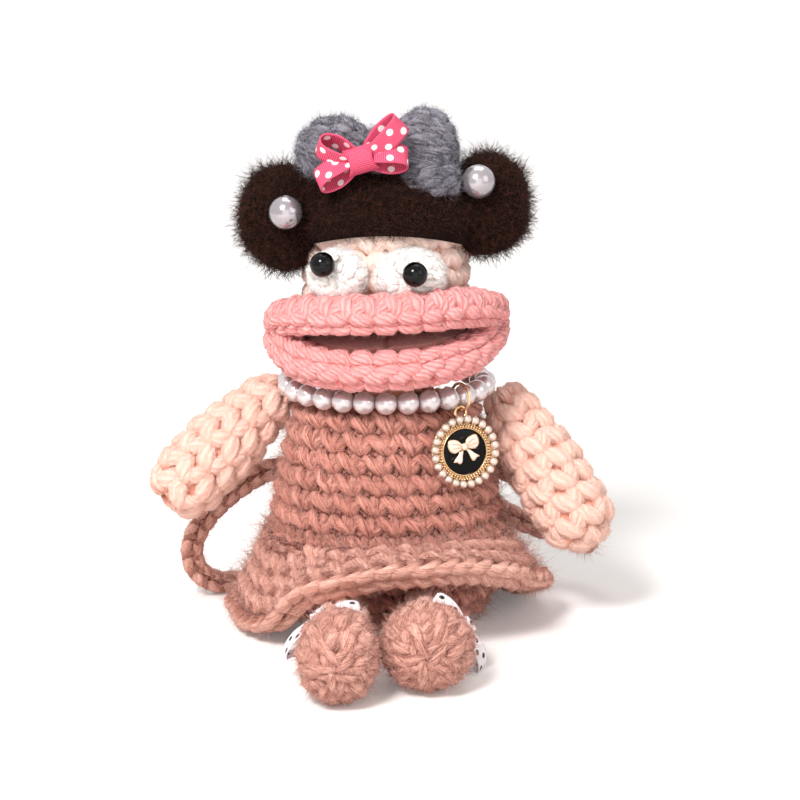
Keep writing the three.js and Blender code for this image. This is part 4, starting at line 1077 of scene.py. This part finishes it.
def head_surface(grow):
    dome = [((head_radius + grow) * math.cos(t), dome_start + (dome_rise + grow) * math.sin(t))
            for t in np.linspace(0, math.pi / 2, 14)]
    outline = [(0, head_bottom), (head_radius + grow, head_bottom), *dome]
    return limited(turned(outline, Matrix.Diagonal((1, head_depth, 1, 1))), above_mouth)


def in_finger_pocket(p):
    return abs(p.x) < 20.5 and p.y > 4 and p.z < 114.5


head = outwards(form("head_stuffed_form", head_surface(-3.0), face_ground, around=48, step=2.2))
cut_box(head, low=(-19, -14, 90), high=(19, 60, 112.6))
brush(head, skin_fibre, per_cm2=90, length=1.8, seed=52, spread=1.3, width=0.8, pattern=short_fibre)
head_rim = [(x, head_depth * math.sqrt(24.4 ** 2 - x ** 2), 113.4) for x in np.linspace(-20.4, 20.4, 21)]
rim_sides = [[(*head_rim[end][:2], z) for z in (99.5, 106)] for end in (0, -1)]
head_rim = rim_sides[0] + head_rim + rim_sides[1][::-1]
head_edge = crochet("head_pocket_edge", edge_stitches(head_rim, (0, -4, 106), (6.4, 5.6, 5.4)), bar_stitch,
                    face_yarn, skin_fibre, density=120, length=1.6, seed=53, width=0.7)
head_stitches = rounds(head_surface(-2.8), [31.8 + 6.4 * k for k in range(5)], row=7.0, width=8.0,
                       thick=6.2, seed=6, shift=0.3, keep=lambda p: not in_finger_pocket(p))
head_rows = crochet("head_rows", head_stitches, plump_stitch, face_yarn, skin_fibre,
                    density=160, length=1.9, seed=51, width=0.7)
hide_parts("head_shell", "head_stuffing")
for made in (head, head_rows, head_edge):
    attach(made, "upper_head")

# Eyes. Two stuffed white domes worked from the middle out, sewn side by side above the lip, each with a
# glossy black bead sewn on through its bore by white thread. The bead is 8 mm stock and measures 7.5 mm.

white_yarn = yarn_finish("white_yarn", "#fffdfa", "#fdf6f1", "#f4dfd7", twist=3.0, ply_depth=0.2, painted_groove_shade=0.3,
                         Roughness=0.95)
white_ground = ground_finish("white_ground", "#fbf7f4", "#f0e7e3")
white_fibre = fibre_finish("white_fibre", "#fffefd", "#fbf7f5")
bead_gloss = clouded("black_bead", "#030303", "#080708", scale=300.0, Roughness=0.05, Specular_IOR_Level=0.2)
bead_pattern = bored_ball("bead_pattern", bore=0.115, around=28, rows=18)
towards_camera = Vector((0, -1, 0))
facing_front = spin(90, "X")
eye_depth, eye_height = -24, 113
bead_size = (7.5, 7.5, 7.5)
thread_half = 4.9


def egg(centre, halves, front=Matrix.Identity(4), inset=0):
    """A stuffed egg surface: half sizes in mm, and the turn that aims its working axis, first along +Z."""
    halves = [h - inset for h in halves]
    mean = sum(halves) / 3
    line = [(mean * math.sin(t), -mean * math.cos(t)) for t in np.linspace(0, math.pi, 40)]
    stretch = Matrix.Diagonal([h / mean for h in halves] + [1])
    return turned(line, Matrix.Translation(centre) @ stretch @ front)


for side, x, halves, bead, turn, seed in (
    ("right", -14.3, (9.6, 8.25, 8.8), (-18.6, -32.78, 117.6), -25, 61),
    ("left", 7.2, (11.2, 8.5, 9.2), (8.6, -34.76, 115.0), 10, 62),
):
    centre = (x, eye_depth, eye_height)
    core, surface = [egg(centre, halves, facing_front, inset) for inset in (1.0, 1.2)]
    dome = form(side + "_eye_dome", core, white_ground, around=32, step=1.6)
    steps = [surface.length * k for k in (0.5, 0.64, 0.77, 0.88, 0.965)]
    stitches = rounds(surface, steps, row=4.8, width=4.8, thick=1.7, seed=seed)
    rows = crochet(side + "_eye_rows", stitches, puff_stitch, white_yarn, white_fibre,
                   density=420, length=1.9, seed=seed, width=0.8)
    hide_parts(side + "_eye_white")
    bead = Vector(bead)
    lie = spin(turn, "Y", 3) @ Vector((1, 0, 0))
    pupil = strung(side + "_pupil", [(bead, towards_camera, lie, bead_size)], bead_pattern, bead_gloss)
    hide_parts(side + "_pupil_bead")
    thread_line = [bead + lie * t + Vector((0, 3 * (abs(t) / thread_half) ** 6, 0))
                   for t in np.linspace(-thread_half, thread_half, 23)]
    thread = tube(side + "_pupil_cotton", thread_line, radius=0.7, material=thread_cotton, sides=8)
    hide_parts(side + "_pupil_thread")
    for made, slot in ((dome, "white_yarn"), (rows, "white_yarn"), (pupil, "black_bead"),
                       (thread, "sewing_thread")):
        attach(made, "upper_head")

# Hair. Dark-brown wool brushed until no stitch shows: a cap sewn over the top of the head, a round bun at
# each side, and a 10 mm silver pearl sewn on each bun.

hair_ground = ground_finish("hair_ground", "#1f0f0a", "#090403", Specular_IOR_Level=0.1)
hair_wool = fibre_finish("hair_wool", "#4c281b", "#110704", Specular_IOR_Level=0.2)
wool = random.Random(71)
wool_lumps = [(Vector((wool.uniform(-48, 48), wool.uniform(-34, 34), wool.uniform(108, 152))),
               wool.uniform(3, 8), wool.uniform(-2.1, 1.4)) for _ in range(360)]
back_hairline, fringe_lift = 116.5, 8
cap_radius, cap_rise, cap_run, cap_edge_radius = 30.8, 19.8, 33, 27.6
fringe_line = 0.1262
stud_size = (10.2, 10.2, 10.2)


def felted(centre):
    """A limit that pushes a point away from a centre, or towards it, by nearby lumps of wool."""
    def push(p):
        lift = sum(h * math.exp(-((p - c).length / r) ** 2) for c, r, h in wool_lumps
                   if (p - c).length < 2 * r)
        return p + (p - Vector(centre)).normalized() * lift
    return push


def cap_at(turns, level):
    """A point of the cap from its edge, level 0, to its top, level 1; below 0 it turns in under the edge."""
    low = back_hairline + fringe_lift * (0.5 - 0.5 * math.sin(2 * math.pi * turns)) ** 3
    side = dome_start - low
    run = level * (side + cap_run)
    bend = (run - side) / cap_run * math.pi / 2
    if level <= 0:
        r, z = cap_edge_radius + 4 * level, low + 0.6 + abs(level)
    else:
        r, z = cap_radius, low + run
        if run >= side:
            r, z = cap_radius * math.cos(bend), dome_start + cap_rise * math.sin(bend)
        r -= 3.2 * max(0, 1 - run / 6) ** 2
    return Vector((r * math.cos(2 * math.pi * turns), r * head_depth * math.sin(2 * math.pi * turns), z))


cap_at.length = 1
cap_levels = [-0.9, -0.5, -0.2, *np.linspace(0.02, 0.985, 26)]
cap = loft("hair_cap_felt", rings_of(limited(cap_at, felted((0, 0, 122))), cap_levels, 72), hair_ground)
mark_points(cap, "out", [v.co - Vector((0, 0, 0.116)) if v.co.z > fringe_line else (0, 0, 1)
                         for v in cap.data.vertices])
brush(cap, hair_wool, per_cm2=300, length=6.5, seed=72, spread=1.5, width=1.3)
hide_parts("hair_cap")
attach(cap, "upper_head")

silver_pearl = pearl_finish("silver_pearl", "#b0a8ab", "#968e94", nacre=0.7)
for side, centre, halves, pearl, seed in (
    ("right", (-30.6, -3, 127.6), (13.8, 14, 15.6), (-29.9, -20.33, 131.4), 73),
    ("left", (31, -3, 131.2), (13, 14, 16.2), (27.6, -18.1, 140.4), 74),
):
    surface = limited(egg(centre, halves), felted(centre))
    bun_rows = np.linspace(0.5, surface.length - 0.5, 30)
    bun = loft(side + "_bun_felt", rings_of(surface, bun_rows, 48), hair_ground)
    brush(bun, hair_wool, per_cm2=330, length=9, seed=seed, spread=1.5, width=1.3)
    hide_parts(side + "_hair_bun")
    stud = strung(side + "_bun_stud", [(Vector(pearl), towards_camera, Vector((0, 0, 1)), stud_size)],
                  bead_pattern, silver_pearl)
    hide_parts(side + "_bun_pearl")
    for made, slot in ((bun, "hair_wool"), (stud, "pearl")):
        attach(made, "upper_head")

# Grey bow. Two crocheted lobes of brushed grey wool with a small knot between them, sewn on top of the hair.
# The left lobe has a soft tail that hangs over the hair.

grey_yarn = yarn_finish("grey_yarn", "#9b97a1", "#58535d", "#29262e", twist=1.6, ply_depth=0.1, streaks=24,
                        painted_groove_shade=0.9, Roughness=0.95, Sheen_Weight=0.2, Sheen_Roughness=0.5)
# Painted shade: the grey ground is darker than the yarn, for the shade between stitches.
grey_ground = ground_finish("grey_ground", "#4a4650", "#2e2a32")
grey_fibre = fibre_finish("grey_fibre", "#aaa6af", "#443f4a")
facing_side = spin(90, "Y")
grey_row = 5.2
for name, node, centre, halves, lean, seed in (
    ("right_grey_lobe", "right_grey_loop", (-15.2, -12, 149), (12.2, 8.5, 10.8), 14, 81),
    ("left_grey_lobe", "left_grey_loop", (11.6, -12, 148.2), (10.6, 8.5, 14), 6, 82),
    ("grey_knot", "grey_bow_knot", (-2.5, -12, 147.6), (5.6, 8.8, 8.6), 0, 83),
    ("left_grey_tail", None, (13.4, -19.4, 140.6), (9, 5.4, 6.8), -14, 84),
):
    aim = spin(lean, "Y") @ facing_side
    core, surface, outside = [egg(centre, halves, aim, inset) for inset in (1.8, 1.9, 0.6)]
    lobe = form(name, core, grey_ground, around=32, step=1.8)
    turns_of_yarn = round(surface.length / grey_row)
    steps = [surface.length * (k + 0.5) / turns_of_yarn for k in range(turns_of_yarn)]
    stitches = rounds(surface, steps, row=6.0, width=5.8, thick=4.8, seed=seed)
    rows = crochet(name + "_rows", stitches, puff_stitch, grey_yarn, grey_fibre,
                   density=150, length=3.2, seed=seed, spread=1.35, width=0.8)
    veil = form(name + "_halo", outside, grey_ground, around=32, step=1.8)
    halo(veil, grey_fibre, per_cm2=330, length=5, seed=seed + 4)
    if node:
        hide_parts(node)
    for made in (lobe, rows, veil):
        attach(made, "upper_head")

# Ribbon bow. Pink grosgrain ribbon with white dots, four loops pinched by a wrapped knot and sewn to the
# front of the hair, tilted. The 9.5 mm ribbon is gathered, so its loops are narrower than the stock.


def ribbon_finish(name, base, dark, dot, spacing, dot_radius, rib):
    """Ribbed ribbon with printed dots in staggered rows; its ribbon map is in millimetres."""
    made, tree, shader = new_finish(name, Roughness=0.6, Specular_IOR_Level=0.3)
    spot = add(tree, "ShaderNodeUVMap", uv_map="ribbon").outputs[0]

    def vector_math(operation, a, b=(0, 0, 0)):
        return add(tree, "ShaderNodeVectorMath", {0: a, 1: b}, operation=operation).outputs

    distances = []
    for shift in ((0.3, 0.25, 0.0), (0.8, 0.75, 0.0)):
        cell = vector_math("MULTIPLY", spot, (1 / spacing, 1 / spacing, 0.0))[0]
        cell = vector_math("FRACTION", vector_math("ADD", cell, shift)[0])[0]
        far = vector_math("DISTANCE", cell, (0.5, 0.5, 0.0))["Value"]
        distances.append(calc(tree, "MULTIPLY", far, spacing))
    nearest = calc(tree, "MINIMUM", *distances)
    inside = map_range(tree, nearest, dot_radius - 0.1, dot_radius + 0.1, 1.0, 0.0)
    along = add(tree, "ShaderNodeSeparateXYZ", {0: spot}).outputs[0]
    weave = map_range(tree, calc(tree, "SINE", calc(tree, "MULTIPLY", along, 2 * math.pi / rib)), -1.0, 1.0)
    cloth = mix_colour(tree, weave, shade(dark), shade(base))
    tree.links.new(mix_colour(tree, inside, cloth, shade(dot)), shader.inputs["Base Color"])
    emboss(tree, shader, weave, 0.5, 0.0002)
    return made


def band(name, line, widths, sideways, thickness, material, across=9):
    """A ribbon along a line: its width at each point, one sideways direction, and its map in mm."""
    run = run_along(line)
    vertices, faces, marks = [], [], []
    full_width = widths[len(line) // 2]
    for p, width in zip(line, widths):
        vertices += [p + sideways * width * s for s in np.linspace(-0.5, 0.5, across)]
    for i in range(len(line) - 1):
        for j in range(across - 1):
            a = i * across + j
            faces.append((a, a + 1, a + across + 1, a + across))
            marks += [(run[i + k], (j + s) / (across - 1) * full_width)
                      for k, s in ((0, 0), (0, 1), (1, 1), (1, 0))]
    made = piece(name, vertices, faces, material)
    ribbon_map = made.data.uv_layers.new(name="ribbon")
    ribbon_map.data.foreach_set("uv", [c for mark in marks for c in mark])
    step = made.modifiers.new("thickness", "SOLIDIFY")
    step.thickness = thickness * MM
    step.offset = 0
    return settle(made)


def join_pieces(name, parts):
    """Joins meshes with the same finish into one piece."""
    whole = bmesh.new()
    for part in parts:
        whole.from_mesh(part.data)
    made = bpy.data.objects.new(name, parts[0].data.copy())
    whole.to_mesh(made.data)
    whole.free()
    bpy.context.collection.objects.link(made)
    for part in parts:
        bpy.data.objects.remove(part)
    return made


def bow_loop(name, place, loop, width, bulge, tilt, roll, side, material, pinch=0.5):
    """One ribbon loop from the knot out and back, splayed by tilt and rolled to show its opening."""
    half = bulge / 2
    out = [(1.2, -half * 0.3), (loop * 0.3, -half * 0.72), (loop * 0.62, -half), (loop * 0.9, -half * 0.72)]
    path = smooth_line(out + [(loop, 0)] + [(x, -y) for x, y in reversed(out)], 6)
    turn = place @ spin(0 if side > 0 else 180, "Z") @ spin(-tilt, "Y") @ spin(roll * side, "X")
    shares = [min(1, x / loop / 0.7) for x, _ in path]
    widths = [width * (pinch + (1 - pinch) * math.sin(share * math.pi / 2) ** 1.4) for share in shares]
    line = [turn @ Vector((x, y, 0)) for x, y in path]
    return band(name, line, widths, turn.to_3x3() @ Vector((0, 0, 1)), 0.4, material)


def bow_knot(name, place, width, depth, height, material):
    """A short length of ribbon wrapped round the middle of a bow, creased at its front and back."""
    angles = np.linspace(0, 2 * math.pi, 37)
    path = [place @ Vector((0, depth * math.cos(t), height * math.sin(t))) for t in angles]
    widths = [width * (1 - 0.16 * math.cos(2 * t)) for t in angles]
    return band(name, path, widths, place.to_3x3() @ Vector((1, 0, 0)), 0.6, material)


pink_ribbon = ribbon_finish("pink_ribbon", "#e9607f", "#b23453", "#fdeef0",
                            spacing=6.4, dot_radius=1.05, rib=0.6)
plain_pink = ribbon_finish("plain_pink_ribbon", "#e65a79", "#a92f4c", "#dd5272",
                           spacing=6.4, dot_radius=0.2, rib=0.6)
on_hair = Matrix.Translation((-7.2, -26.8, 147.8)) @ spin(-16, "Y")
for name, node, side, splays in (
    ("pink_loops_right", "right_ribbon_loops", -1, ((13.4, 36, 48), (14.4, -12, -44))),
    ("pink_loops_left", "left_ribbon_loops", 1, ((16.2, 28, 22), (13.6, -14, -40))),
):
    loops = [bow_loop(name + str(tilt), on_hair, reach, width=6.8, bulge=6.0, tilt=tilt, roll=roll, side=side,
                      material=pink_ribbon) for reach, tilt, roll in splays]
    pair = join_pieces(name, loops)
    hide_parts(node)
    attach(pair, "upper_head")
pink_knot = bow_knot("pink_knot", on_hair, width=8.4, depth=3.2, height=3.7, material=plain_pink)
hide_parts("ribbon_bow_knot")
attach(pink_knot, "upper_head")

# Pendant. A gold-plated disc hung on the necklace by a jump ring: a rim of small pearls, a beaded gold ring,
# black enamel and a white enamelled bow with gold edges.

gold_finish = clouded("gold_metal", "#c99b6d", "#ecd0aa", scale=900.0, detail=3.0, rough=(0.16, 0.38),
                      Metallic=1.0)
black_enamel = clouded("black_enamel", "#020202", "#070606", scale=400.0, Roughness=0.32,
                       Specular_IOR_Level=0.12)
white_enamel = clouded("white_enamel", "#dcc2b5", "#ecd8ce", scale=400.0, Roughness=0.3)
cream_pearl = pearl_finish("cream_pearl", "#dccabb", "#c2ac9c", nacre=0.55)

ring_low = Vector((22.509, -19.901, 71.106))
ring_radius, eyelet_radius, wire_radius = 4.1, 1.8, 0.45
strand = Vector((0.7687, 0.6396, 0))
ring_side = strand.cross(Vector((0, 0, 1)))
ring_line = [ring_low + ring_side * ring_radius * math.cos(t)
             + Vector((0, 0, ring_radius * (1 + math.sin(t)))) for t in round_angles(56)]
jump_ring = tube("jump_ring_wire", ring_line, wire_radius, gold_finish, sides=10, closed=True)
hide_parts("jump_ring")
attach(jump_ring, "pendant_ring")

plate_radius, bezel_radius, enamel_radius = 10.3, 8.5, 6.9
eyelet_up = plate_radius + eyelet_radius - wire_radius / 2
hung = (Matrix.Translation(ring_low) @ spin(22, "Z") @ spin(-9, "X")
        @ Matrix.Translation((0, 0.6, 2 * wire_radius + 0.15 - eyelet_radius - eyelet_up)) @ spin(90, "X"))


def disc(name, outline, material):
    """A turned disc piece on the pendant."""
    return loft(name, rings_of(turned(outline, hung), run_along(outline)[1:-1], 64), material)


inside = enamel_radius + 0.15
plate = disc("pendant_back", [
    (0, 0), (plate_radius - 0.5, 0), (plate_radius - 0.1, 0.15), (plate_radius, 0.6),
    (plate_radius - 0.1, 1.05), (plate_radius - 0.5, 1.2), (bezel_radius + 0.1, 1.2), (bezel_radius, 1.5),
    (bezel_radius - 0.05, 1.9), (inside + 0.4, 1.95), (inside + 0.3, 2.5), (inside + 0.1, 2.6), (inside, 2.4),
    (inside, 1.6), (inside - 0.1, 1.25), (0, 1.25),
], gold_finish)
eyelet_line = [hung @ Vector((eyelet_radius * math.cos(t), eyelet_up + eyelet_radius * math.sin(t), 0.6))
               for t in round_angles(28)]
eyelet = tube("pendant_eyelet", eyelet_line, wire_radius, gold_finish, sides=10, closed=True)
grain_pattern = bored_ball("grain_pattern", bore=0.05, around=8, rows=5)


def round_rim(name, rings, pattern, material):
    """Balls set in circles on the pendant, each circle with its count, radius, height and ball size."""
    turn = hung.to_3x3()
    spots = []
    for count, radius, height, size in rings:
        for t in (2 * math.pi * (k + 0.5) / count for k in range(count)):
            spots.append((hung @ Vector((radius * math.cos(t), radius * math.sin(t), height)),
                          turn @ Vector((0, 0, 1)), turn @ Vector((-math.sin(t), math.cos(t), 0)),
                          (size, size, size)))
    return strung(name, spots, pattern, material)


rim_grains = round_rim("pendant_grains", [(54, inside + 0.75, 2.1, 0.8), (60, inside + 1.4, 2.0, 0.8)],
                       grain_pattern, gold_finish)
rim_pearls = round_rim("pendant_pearls", [(24, bezel_radius + 1.43, 2.63, 2.6)], pearl_pattern, cream_pearl)
rim_claws = round_rim("pendant_claws", [(48, plate_radius - 0.05, 1.5, 0.9)], grain_pattern, gold_finish)
enamel = disc("pendant_face", [
    (0, 1.3), (enamel_radius - 0.05, 1.3), (enamel_radius, 1.6), (enamel_radius, 2.1),
    (enamel_radius - 0.2, 2.22), (4, 2.26), (0, 2.28),
], black_enamel)
bow_turn, bow_scale, bow_middle = spin(9, "Z", 3).to_2x2(), 1.04, Vector((-0.2, 1.6))


def on_enamel(point, lift):
    """A point of the bow's drawing at its place on the pendant."""
    across, up = bow_turn @ Vector(point) * bow_scale + bow_middle
    return hung @ Vector((across, up, lift))


def raised(name, outline, low, high, material, inset=0.0):
    """A flat pad on the pendant with a rounded edge, from an outline in pendant millimetres."""
    line = smooth_line(outline, 4, closed=True)[:-1]
    middle = line.mean(axis=0)
    rings = []
    for lift, shrink in ((low, 0.0), (low + 0.6 * (high - low), 0.02), (high, 0.12), (high + 0.05, 0.5)):
        rings.append([on_enamel(middle + (p - middle) * (1 - inset - shrink), lift) for p in line])
    return outwards(loft(name, rings, material))


def square(half_width, half_height):
    return [(-half_width, -half_height), (half_width, -half_height), (half_width, half_height),
            (-half_width, half_height)]


bow_leaves = [
    [(0.3, 0.6), (1.8, 2.4), (4.0, 2.9), (5.0, 1.7), (4.8, -0.3), (3.4, -1.4), (1.4, -1.0), (0.4, -0.5)],
    [(0.4, -0.8), (1.7, -1.3), (2.7, -2.4), (4.3, -3.8), (3.3, -4.1), (2.5, -4.8), (1.5, -4.4), (0.9, -2.4)],
]
bow_pleats = [[(0.8, 0.35), (2.2, 1.2), (3.7, 1.6)], [(0.8, -0.1), (2.3, 0.1), (3.9, 0.2)]]
bow_white, bow_gold = [], []
for side in (1, -1):
    for k, outline in enumerate(bow_leaves):
        mirrored = [(x * side, y) for x, y in outline[::side]]
        bow_gold.append(raised("bow_gold_%d_%d" % (k, side), mirrored, low=2.24, high=2.6,
                               material=gold_finish))
        bow_white.append(raised("bow_white_%d_%d" % (k, side), mirrored, low=2.5, high=2.82,
                                material=white_enamel, inset=0.14))
    for k, pleat in enumerate(bow_pleats):
        line = [on_enamel((x * side, y), 2.86) for x, y in smooth_line(pleat, 5)]
        bow_gold.append(tube("bow_pleat_%d_%d" % (k, side), line, 0.18, gold_finish, sides=6))
bow_gold.append(raised("bow_gold_knot", square(0.8, 0.9), low=2.5, high=2.95, material=gold_finish))
bow_white.append(raised("bow_white_knot", square(0.6, 0.7), low=2.9, high=3.15, material=white_enamel))
bow_edges = join_pieces("pendant_bow_edges", bow_gold)
bow_face = join_pieces("pendant_bow_face", bow_white)
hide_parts("pendant_plate")
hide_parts("pendant_enamel")
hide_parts("pendant_pearl_rim")
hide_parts("pendant_bow")
for made, slot in ((plate, "gold_metal"), (eyelet, "gold_metal"), (rim_grains, "gold_metal"),
                   (rim_claws, "gold_metal"), (rim_pearls, "pearl"), (enamel, "black_enamel"),
                   (bow_edges, "gold_metal"), (bow_face, "white_enamel")):
    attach(made, "pendant")

# Arms. Stuffed peach tubes worked in chunky rounds of thick yarn from the shoulder to the round hand. Each is
# sewn to the side of the dress at its shoulder, where it turns.


def arm_surface(aim, shoulder, middle, hand, length):
    """An arm from the ball in its shoulder seam to its round hand, with a radius at each and half way."""
    ball = [(shoulder * math.cos(t), shoulder * math.sin(t)) for t in np.linspace(-math.pi / 2, -0.25, 8)]
    sleeve = smooth_line([(shoulder, shoulder * 0.1), (middle, length / 2), (hand, length)], 6)[:-1]
    fist = [(hand * math.cos(t), length + hand * math.sin(t)) for t in np.linspace(0.0, math.pi / 2, 12)]
    return turned([*ball, *sleeve, *fist], aim)


seam_depth = 2
for side, shoulder, reach, hand, seed in (
    ("right", (-39.486, 5, 67), (-22, -13, -20.5), 11.8, 91),
    ("left", (40.501, 5, 63), (18, -13, -27.5), 12.2, 92),
):
    far = Vector(reach)
    seam = Vector(shoulder) - far.normalized() * seam_depth
    aim = Matrix.Translation(seam) @ far.to_track_quat("Z", "Y").to_matrix().to_4x4()
    arm_length = far.length + seam_depth
    core = arm_surface(aim, shoulder=6.2, middle=9.0, hand=hand - 3.0, length=arm_length)
    arm = form(side + "_arm_form", core, skin_ground, around=32, step=2)
    surface = arm_surface(aim, shoulder=6.4, middle=9.2, hand=hand - 2.8, length=arm_length)
    steps = np.arange(3.4, surface.length - 1.5, 6.8)
    stitches = rounds(surface, steps, row=7.6, width=8.2, thick=6.6, seed=seed, lean=-6, shift=0.35)
    rows = crochet(side + "_arm_rows", stitches, plump_stitch, skin_yarn, skin_fibre,
                   density=230, length=2.3, seed=seed, width=0.7)
    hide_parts(side + "_arm_cover", side + "_arm_stuffing")
    for made in (arm, rows):
        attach(made, side + "_arm")

# Legs and shoes. Short stuffed peach legs end in dusky-pink mohair shoes worked from the toe back, each with
# a bow of white ribbon with black dots tied on the ankle.

shoe_yarn = yarn_finish("shoe_mohair", "#e6b2a2", "#b67b6b", "#6e392d", painted_groove_shade=0.85, nap_share=0.35,
                        **dict(mohair, streaks=24))
dotted_ribbon = ribbon_finish("dotted_ribbon", "#fbf7f9", "#efe6ec", "#141214",
                              spacing=5.4, dot_radius=0.85, rib=0.3)
leg_height, sole_height = 10.8, 2.2


def on_sole(p):
    """Keeps a shoe point above the flat of its sole."""
    return Vector((p.x, p.y, max(p.z, sole_height)))


for side, x, hip, toe, halves, bow_spot, bow_turns, loops, seed in (
    ("right", -13.4, -34.876, -81, (12, 15, 14), (-5.6, 15.2, 19.6), (-36, -78), ((12, 24), (15, 14)), 95),
    ("left", 12, -35.305, -70.5, (14, 14.5, 13.2), (11.4, 14.2, 13.6), (56, -60), ((14, 18), (12.6, 16)), 96),
):
    aim = Matrix.Translation((x, hip, leg_height)) @ facing_front
    leg_length = hip - (toe + halves[1] - 6)
    leg_line = [(0, -6.6), (4.6, -4.8), (5.8, 0), (5.6, leg_length - 1), (0, leg_length - 0.9)]
    leg = form(side + "_leg_form", turned(leg_line, aim), skin_ground, around=28, step=2)
    surface = turned([(0, -6.8), (4.8, -5), (6.0, 0), (5.8, leg_length - 1)], aim)
    steps = np.arange(10.5, surface.length, 6.7)
    stitches = rounds(surface, steps, row=7.0, width=7.6, thick=6.4, seed=seed)
    leg_rows = crochet(side + "_leg_rows", stitches, puff_stitch, skin_yarn, skin_fibre,
                       density=10, length=1.6, seed=seed)
    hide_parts(side + "_leg_cover", side + "_leg_stuffing")
    centre = (x, toe, halves[2] - 0.5)
    core, surface, veil = [limited(egg(centre, halves, facing_front, inset), on_sole)
                           for inset in (2.6, 2.4, 0.8)]
    toe_form = form(side + "_shoe_form", core, dress_ground, around=36, step=1.8)
    steps = [surface.length * k for k in (0.2, 0.34, 0.48, 0.62, 0.76, 0.89)]
    stitches = rounds(surface, steps, row=7.0, width=7.4, thick=5.8, seed=seed + 4, shift=0.35)
    toe_rows = crochet(side + "_shoe_rows", stitches, puff_stitch, shoe_yarn, dress_fibre,
                       density=110, length=3.4, seed=seed + 4, width=0.8)
    toe_halo = form(side + "_shoe_halo", veil, dress_ground, around=36, step=1.8)
    halo(toe_halo, dress_fibre, per_cm2=130, length=6, seed=seed + 8)
    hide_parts(side + "_shoe")
    on_leg = (Matrix.Translation((x + bow_spot[0], toe + bow_spot[1], bow_spot[2]))
              @ spin(bow_turns[0], "Y") @ spin(bow_turns[1], "X"))
    outer, inner = [bow_loop(side + "_shoe_loop_" + end, on_leg @ spin(way * droop, "Z"), reach, width=6.0,
                             bulge=4.0, tilt=0, roll=0, side=way, material=dotted_ribbon)
                    for end, way, (reach, droop) in (("outer", 1, loops[0]), ("inner", -1, loops[1]))]
    knot = bow_knot(side + "_shoe_knot", on_leg, width=4.2, depth=2.1, height=2.6, material=dotted_ribbon)
    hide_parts(side + "_shoe_bow_outer_loops")
    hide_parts(side + "_shoe_bow_inner_loops")
    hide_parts(side + "_shoe_bow_knot")
    for made, slot in ((leg, "skin_yarn"), (leg_rows, "skin_yarn"), (toe_form, "dress_mohair"),
                       (toe_rows, "dress_mohair"), (toe_halo, "dress_mohair"), (outer, "dotted_ribbon"),
                       (inner, "dotted_ribbon"), (knot, "dotted_ribbon")):
        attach(made, side + "_leg")

# Studio scraps. Patterns that the trees copied are put away.

for scrap in (v_stitch, plump_stitch, puff_stitch, chain_stitch, bar_stitch, hair_fibre, short_fibre,
              pearl_pattern, bead_pattern, grain_pattern):
    bpy.data.objects.remove(scrap)
